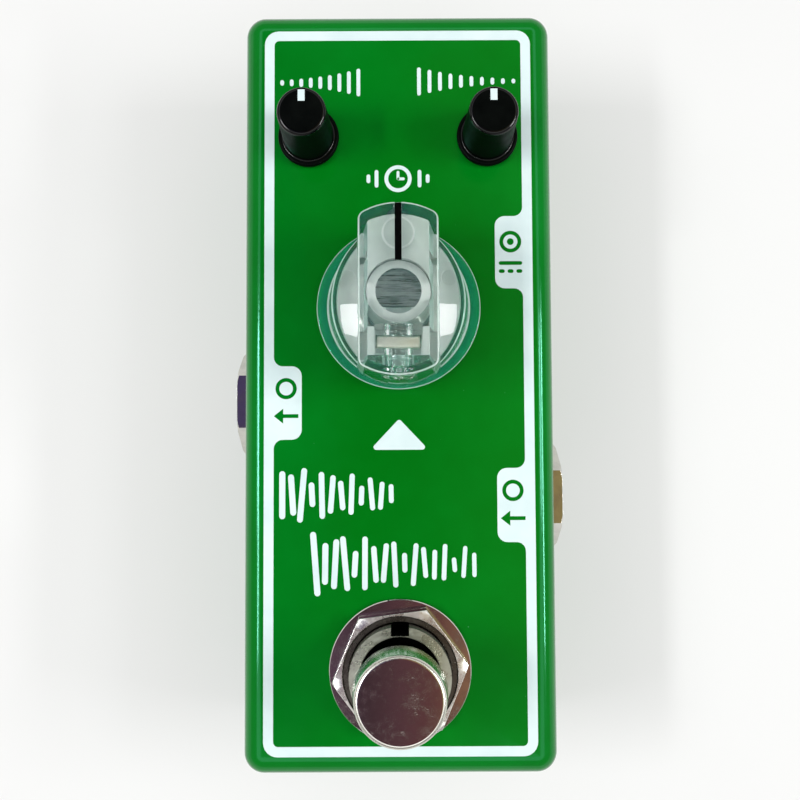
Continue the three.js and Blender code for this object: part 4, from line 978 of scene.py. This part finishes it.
# the shaft's bore: a round one with a cone at its end, and a pad that fills it beyond the shaft's flat
def knobBore():
    k = knobFacts
    ringFoot = k.boreTop - k.boreSlope - k.relief
    bore = spun([(0, -1), (k.bore, -1), (k.bore, ringFoot - k.relief), (k.bore + k.relief, ringFoot),
                 (k.bore - k.boreSlope, k.boreTop), (0, k.boreTop)], 64)
    # the bore's walls take the boss paint: painted light that whitens the ring round the shaft
    painted(bore, 5, slanted(0, wall))
    # the bore's cone takes the mark paint, a painted highlight ring round the shaft
    painted(bore, 6, slanted(wall, level))
    padTop, half = ringFoot - k.relief - 0.02, k.screwHole - 0.2
    # the pad's top and underside take the mark paint: painted light that brightens them
    bore = cut(bore, painted(block(-4, 4, -8, -k.flat, k.pocketTop + 1, padTop), 6, slanted(level)))
    # the middle of the pad's top takes the greyer boss paint, painted light a little darker than the pad's sides
    return cut(bore, painted(block(-half, half, -8, -k.flat - 0.01, padTop - 0.5, padTop + 0.01), 5))


def makeTimeKnob():
    k = knobFacts
    ceiling = k.barTop - k.topWall
    slotNear, slotFar = -k.nutNear + k.nutPlay, -k.nutNear - k.nutThickness - k.nutPlay
    pads = [rod(k.sideMark, k.padFoot, k.padFoot + k.padHeight, side * k.sideMarkX, k.sideMarkY, 32)
            for side in (-1, 1)]
    for pad in pads:
        # the pads' sides take the mark paint, a painted highlight outline
        painted(painted(pad), 6, slanted(0, level))
    nutHalf = k.nut / 2 + k.nutPlay
    slot = block(-nutHalf, nutHalf, slotFar, slotNear, k.ribFoot - 1, k.screwZ + nutHalf)
    # the slot's side walls take the mark paint: painted light on the nut pocket's walls
    painted(slot, 6, lambda facing, at: abs(facing.x) > 0.9)
    half, grooveFoot = k.pointerWidth / 2, k.barTop - k.pointerDepth
    knob = cut(
        joined(cut(outerKnob(), knobHollow(ceiling, slotNear, slotFar)), knobRibs(ceiling, slotNear, slotFar), *pads),
        knobBore(),
        slot,
        crossRod(k.screwHole, 0, 6.8),
        crossRod(k.driver, 0, k.barFootReach + 1, 24),
        block(-half, half, k.pointerStart, k.barFootReach + 1, grooveFoot, k.barTop + 1),
    )
    piece("timeKnobBody", moved(knob, 0, timeY, knobFoot), "acrylic frosted knobWall knobEdge knobFlange knobBoss knobMark",
          "time_control", "clear_plastic", ["time_knob"], sharp=30)
    line = block(-half + 0.01, half - 0.01, k.pointerStart + 0.02, k.barReach - 0.12, grooveFoot + 0.01, k.barTop - 0.02)
    piece("timeKnobPointer", moved(line, 0, timeY, knobFoot), "pointerBlack", "time_control", "black_gloss")


makeTimeKnob()
print("clear knob made")


# Set screw and captive nut inside the clear knob, and the pot's shaft, nut and washer under it

# zigzag of a thread's profile from z0 up to z1
def threads(outer, inner, z0, z1, pitch):
    count = max(int((z1 - z0) / pitch), 1)
    step = (z1 - z0) / count
    points = [(inner, z0)]
    for i in range(count):
        points += [(outer, z0 + step * (i + 0.5)), (inner, z0 + step * (i + 1))]
    return points


def makeKnobInsides():
    s = Facts(thread=1.48, core=1.2, end=1.1, pitch=0.5, socket=0.85, socketDepth=1.6, nutBore=1.56, nutEdge=0.22)
    low, high, (x, _, z) = seat("time_knob_set_screw")
    length = high[1] - low[1]
    thread = threads(s.thread, s.core, 0.2, length - 0.2, s.pitch)
    screw = spun([(0, 0), (s.end, 0), *thread, (s.end, length), (0, length)], 32)
    screw = turnedTo(cut(screw, rod(s.socket, length - s.socketDepth, length + 1, steps=6)), "-y", (x, high[1], z))
    piece("setScrew", screw, "screwSteel", "time_control", "plated_steel", ["time_knob_set_screw"], sharp=20)
    low, high = seat("time_knob_nut")[:2]
    plate = block(low[0], high[0], low[1], high[1], low[2], high[2])
    bevelled(plate, list(plate.edges), s.nutEdge, 3)
    bore = turnedTo(rod(s.nutBore, -1, 3, steps=32), "-y", (0, high[1], (low[2] + high[2]) / 2))
    piece("captiveNut", cut(plate, bore), "paleNut", "time_control", "brass", ["time_knob_nut"])


def makeTimeShaft():
    s = Facts(radius=3.0, chamfer=0.62, chamferHeight=0.2, flat=1.5, flatLength=7.5)
    low, high = seat("time_pot_shaft")[:2]
    top = high[2]
    profile = [(0, low[2]), (s.radius, low[2]), (s.radius, top - s.chamferHeight)]
    profile += [(s.radius - s.chamfer, top), (0, top)]
    shaft = cut(spun(profile, 64), block(-4, 4, -4, -s.flat, top - s.flatLength, top + 1))
    piece("timeShaft", moved(shaft, 0, timeY), "aluminium", "time_control", "aluminium", ["time_pot_shaft"], sharp=12)


# hexagon with its corners turned off at both ends and a bore that is widened below, and above too if it is sunk
def hexNut(acrossFlats, z0, z1, bore, chamfer, mouth, crown, sunk=True):
    corner = acrossFlats / 2 / math.cos(math.pi / 6)
    body = rod(corner, z0, z1, steps=6)
    outer = corner + 0.02
    turned = spun([(0, z0), (corner - crown, z0), (outer, z0 + crown * 0.5), (outer, z1 - crown * 0.55),
                   (corner - crown, z1), (0, z1)], 96)
    upper = [(bore, z1 - chamfer * 0.9), (bore + chamfer, z1), (bore + chamfer, z1 + 1)] if sunk else [(bore, z1 + 1)]
    hole = spun([(0, z0 - 1), (bore + mouth, z0 - 1), (bore + mouth, z0), (bore, z0 + mouth), *upper, (0, z1 + 1)], 96)
    return cut(common(body, turned), hole)


def washer(outer, inner, z0, z1, edge):
    return spun([(inner, z0), (outer - edge, z0), (outer, z0 + edge), (outer, z1 - edge), (outer - edge, z1),
                 (inner + edge, z1), (inner, z1 - edge), (inner, z0)], 96)


def makeWasher(name, node, y, bore, edge, **extra):
    low, high = seat(node)[:2]
    plated(name, moved(washer((high[0] - low[0]) / 2, bore, low[2], high[2], edge), 0, y), node, **extra)


def makePotHardware():
    bore = 3.6
    makeWasher("potWasher", "time_pot_washer", timeY, bore, 0.08)
    low, high = seat("time_pot_nut")[:2]
    plated("potNut", moved(hexNut(10, low[2], high[2], bore, 0.25, 0.25, 0.4), 0, timeY), "time_pot_nut", edge=0.05)


makeKnobInsides()
makeTimeShaft()
makePotHardware()
print("knob insides made")


# Footswitch
switchFacts = Facts(
    thread=6.0, core=5.65, pitch=0.75, bore=4.75, boreFloor=16.2, boreDark=0.5, face=5.97, wall=0.7,
    keyWidth=2.1, keyDepth=4.5, keyWall=0.13, seatBore=6.1, nutFlats=14.1, nutTurn=37.2,
    step=6.85, stepDepth=0.28, plunger=4.93, rim=0.48, cap=3.95, capFoot=5.2, capEdge=0.2,
    stem=3.0, guide=3.1, tail=1.2, groove=2.3,
)


def makeSwitchSeat():
    s = switchFacts
    makeWasher("switchWasher", "footswitch_washer", switchY, s.seatBore, 0.09, sharp=40)
    low, high = seat("footswitch_nut")[:2]
    foot, top = low[2], high[2]
    nut = turnedBy(hexNut(s.nutFlats, foot, top, s.seatBore, 0.75, 0.3, 0.42, False), s.nutTurn)
    # the nut's upright sides and bore take the darker, glossier plain nickel: painted shade on the sides
    painted(nut, 2, slanted(0, wall))
    # the nut's counterbore floor takes the dark steel: painted shade
    stepFoot = top - s.stepDepth
    step = spun([(0, stepFoot), (s.step - 0.1, stepFoot), (s.step, top + 0.5), (0, top + 0.5)], 96)
    nut = moved(cut(nut, painted(step)), 0, switchY)
    plated("switchNut", nut, "footswitch_nut", "nutNickel darkSteel nickel", edge=0.06)


# the can and the threaded bushing are one piece, with a keyway in the bushing's far side
def makeSwitchCan():
    s = switchFacts
    low, high = seat("footswitch_can")[:2]
    canTop = seat("footswitch_inner_nut")[0][2]
    top, nutTop = high[2], seat("footswitch_nut")[1][2]
    ceiling, boreFloor = canTop - s.wall, seat("footswitch_plunger")[1][2] - s.boreFloor
    profile = [(s.guide, ceiling), (s.thread, ceiling), (s.thread, nutTop - 1)]
    profile += threads(s.thread, s.core, nutTop - 0.4, top - 0.35, s.pitch)
    profile += [(s.face, top - 0.03), (s.face - 0.03, top), (s.bore + 0.08, top), (s.bore, top - 0.08)]
    profile += [(s.bore, top - s.boreDark), (s.bore, boreFloor), (s.guide, boreFloor), (s.guide, ceiling)]
    tube = spun(profile, 96)
    # the bore below its mouth is painted black: painted shade deep in the bushing
    painted(tube, 1, lambda facing, at: at.xy.length < s.bore + 0.01 and at.z < top - s.boreDark)
    # the threads and the outside of the bushing take the dark steel: painted shade in the gap by the nut
    painted(tube, 3, lambda facing, at: at.xy.length > s.core - 0.1 and abs(facing.z) < level)
    # the keyway's faces are painted black too: painted shade in the slot
    key = block(-s.keyWidth / 2, s.keyWidth / 2, s.bore + s.keyWall, s.thread + 1, top - s.keyDepth, top + 1)
    tube = moved(cut(tube, painted(key)), 0, switchY)
    box = block(low[0], high[0], low[1], high[1], low[2], canTop)
    bevelled(box, uprights(box), 1.0, 5)
    bevelled(box, rimAt(box, canTop), 0.4, 3)
    inner = block(low[0] + s.wall, high[0] - s.wall, low[1] + s.wall, high[1] - s.wall, low[2] - 1, ceiling)
    box = cut(box, inner, rod(s.thread - 1, canTop - 2, canTop + 1, 0, switchY))
    plated("switchCan", joined(box, tube), "footswitch_can", "bushingNickel pointerBlack nickel darkSteel", sharp=30)


def makePlunger():
    s = switchFacts
    low, high = seat("footswitch_plunger")[:2]
    clipLow, clipHigh = seat("footswitch_clip")[:2]
    foot, top = low[2], high[2]
    capFoot, stem, edge, crown = top - s.cap, s.stem, s.capEdge, s.plunger - s.rim
    profile = [(0, foot), (s.tail - 0.2, foot), (s.tail, foot + 0.2), (s.tail, foot + 3), (stem - 0.3, foot + 3)]
    profile += [(stem, foot + 3.3), (stem, clipLow[2] - 0.1), (s.groove, clipLow[2] - 0.1)]
    profile += [(s.groove, clipHigh[2] + 0.1), (stem, clipHigh[2] + 0.1), (stem, capFoot), (s.capFoot - edge, capFoot)]
    profile += arc(s.capFoot - edge, capFoot + edge, edge, -60, 0, 4)
    profile += arc(crown, top - s.rim, s.rim, 5, 90, 10) + [(crown - 0.05, top), (0, top)]
    shape = spun(profile, 128)
    # the stem, the tail and the clip groove below the cap take the dark steel: painted shade
    painted(shape, 1, lambda facing, at: at.xy.length < stem + 0.1 and at.z < capFoot)
    # the cap's side takes the darker satin nickel: painted shade
    painted(shape, 2, lambda facing, at: at.z > capFoot and abs(facing.z) < 0.2)
    painted(shape, 3, lambda facing, at: at.z > top - s.rim - 0.01 and 0.2 < facing.z < 0.99)
    piece("switchPlunger", moved(shape, 0, switchY), "nickel darkSteel satinNickel rimNickel", "footswitch_push",
          "plated_steel", ["footswitch_plunger"], sharp=38)


# Return spring: a coil of round wire standing on the switch's base
def makeSpring():
    s = Facts(wire=0.5, turns=5, steps=24, sides=10, travel=2.5)
    low, high = seat("footswitch_spring")[:2]
    reach = (high[0] - low[0] - s.wire) / 2
    rise, steps = high[2] - low[2] - s.wire, s.turns * s.steps
    rings = []
    for i in range(steps + 1):
        turn = math.tau * i / s.steps
        section = circle(reach, low[2] + s.wire / 2 + rise * i / steps, s.wire / 2, s.sides)
        rings.append([(r * math.cos(turn), switchY + r * math.sin(turn), z) for r, z in section])
    coil = piece("switchSpring", lofted(rings, {}), "zinc", "housing", "zinc_steel", ["footswitch_spring"], sharp=60)
    height = high[2] - low[2]
    switchY * mm
    low[2] * mm
    (height - s.travel) / height
    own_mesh(coil)


makeSwitchSeat()
makeSwitchCan()
makePlunger()
makeSpring()
print("footswitch made")


# Side sockets: a nut and a washer on each wall
def makeJack(name, axis):
    bore = 4.6
    for part in ("nut", "washer"):
        node = f"{name}_jack_{part}"
        low, high, (_, y, z) = seat(node)
        start, end = sorted((abs(low[0]), abs(high[0])))
        if part == "nut":
            shape, edge = hexNut(12, start, end, bore, 0.35, 0.3, 0.45), 0.06
        else:
            shape, edge = washer((high[1] - low[1]) / 2, bore, start, end, 0.08), 0.0
        plated(f"{name}Socket{part.title()}", turnedTo(shape, axis, (0, y, z)), node, edge=edge)


makeJack("output", "-x")
makeJack("input", "x")
print("sockets made")


# Finishes of the CAD pieces that keep their shape
kept = {
    "nickel": ["power_jack_pin", "footswitch_inner_nut"],
    "mattBlack": ["output_jack_body", "input_jack_body", "power_jack_housing", "footswitch_base"],
    "greyMoulding": ["level_pot_body", "repeat_pot_body", "level_pot_shaft", "repeat_pot_shaft"],
    "zinc": ["time_pot_body", "footswitch_clip"],
    "brass": [f"{socket}_jack_{role}_contact" for socket in ("output", "input") for role in ("sleeve", "tip")]
    + ["power_jack_contact", "footswitch_lug_1", "footswitch_lug_2"],
    "aluminium": ["supply_capacitor", "filter_capacitor"],
    "lamp": ["status_led"],
    "board": ["main_board"],
    "chip": ["delay_chip", "mixer_chip"],
    "redWire": ["switch_wire_1"],
    "blackWire": ["switch_wire_2"],
}
for paint, names in kept.items():
    for name in names:
        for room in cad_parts[name].material_slots:
            room.material = paints[paint]
print("CAD pieces dressed")


# Stage: pale floor, a soft room with a pale ring of light round a dark opening overhead, and two lights on each side
stageFacts = Facts(
    floor=(0.48, 0.483, 0.48), floorPatch=60, floorGlow=0.31, floorSize=3.0,
    # brightness by height, from the horizon at 0 to straight up at 1, and where the dark opening starts
    strength=1.6, room=((0.12, 0.56), (0.25, 0.22), (0.73, 0.22), (0.77, 1.0)),
    openFrom=0.885, openTo=0.91, openLean=0.09,
    # the opening's colours from left to right: bluish, dark in the middle, then brown
    overhead=[
        (0.16, (0.041, 0.034, 0.088)), (0.35, (0.082, 0.046, 0.072)), (0.42, (0.03, 0.018, 0.023)),
        (0.5, (0.066, 0.03, 0.038)), (0.57, (0.084, 0.033, 0.034)), (0.63, (0.17, 0.093, 0.058)),
        (0.7, (0.15, 0.08, 0.05)), (0.84, (0.206, 0.175, 0.075)),
    ],
    lampAim=(0, 0, 0.03), lampReach=0.46,
    # width along y and height in m, watts, y, and the lean from overhead in degrees on the left and on the right
    lamp=(0.114, 0.07, 0.31, 0.01, (38.5, 38.5)), strip=(0.2, 0.035, 0.76, -0.026, (35.0, 50.0)),
)


def makeStage():
    s = stageFacts
    f = Finish("floorCloth")
    tone = f.blend(f.noise(s.floorPatch, 3), s.floor, tuple(part * 1.02 for part in s.floor))
    cloth = f.done(Base_Color=tone, Roughness=0.7, Emission_Color=(1, 1, 0.995), Emission_Strength=s.floorGlow)
    sheet = bmesh.new()
    bmesh.ops.create_grid(sheet, x_segments=1, y_segments=1, size=s.floorSize / 2)
    floor = holder(sheet, [cloth])
    floor.name = "floor"


def makeSurroundings():
    s = stageFacts
    world = bpy.data.worlds.new("surroundings")
    f = Finish("surroundings", world)
    x, y, z = f.axes(f.node("ShaderNodeTexCoord", output="Generated"))
    room = f.ramp(z, [(height, (grey,) * 3) for height, grey in s.room])
    opening = f.ramp(x * 2 + 0.5, s.overhead)
    light = f.mix(f.between(z + y * s.openLean, s.openFrom, s.openTo), room, opening)
    f.surface(f.node("ShaderNodeBackground", values={"Color": light, "Strength": s.strength}), "ShaderNodeOutputWorld")
    scene.world = world


def makeLamp(name, side, kind):
    width, height, watts, y, leans = stageFacts[kind]
    light = bpy.data.lights.new(name, "AREA")
    light.shape, light.size, light.size_y, light.energy = "RECTANGLE", width, height, watts
    lamp = placed(name, light)
    lean = math.radians(leans[side > 0])
    away = Vector((side * math.sin(lean), 0, math.cos(lean)))
    lamp.location = Vector(stageFacts.lampAim) + Vector((0, y, 0)) + away * stageFacts.lampReach
    lamp.rotation_euler = (-away).to_track_quat("-Z", "Y").to_euler()


makeStage()
makeSurroundings()
for side, word in ((-1, "left"), (1, "right")):
    makeLamp(f"{word}Lamp", side, "lamp")
    makeLamp(f"{word}Strip", side, "strip")
print("stage set")
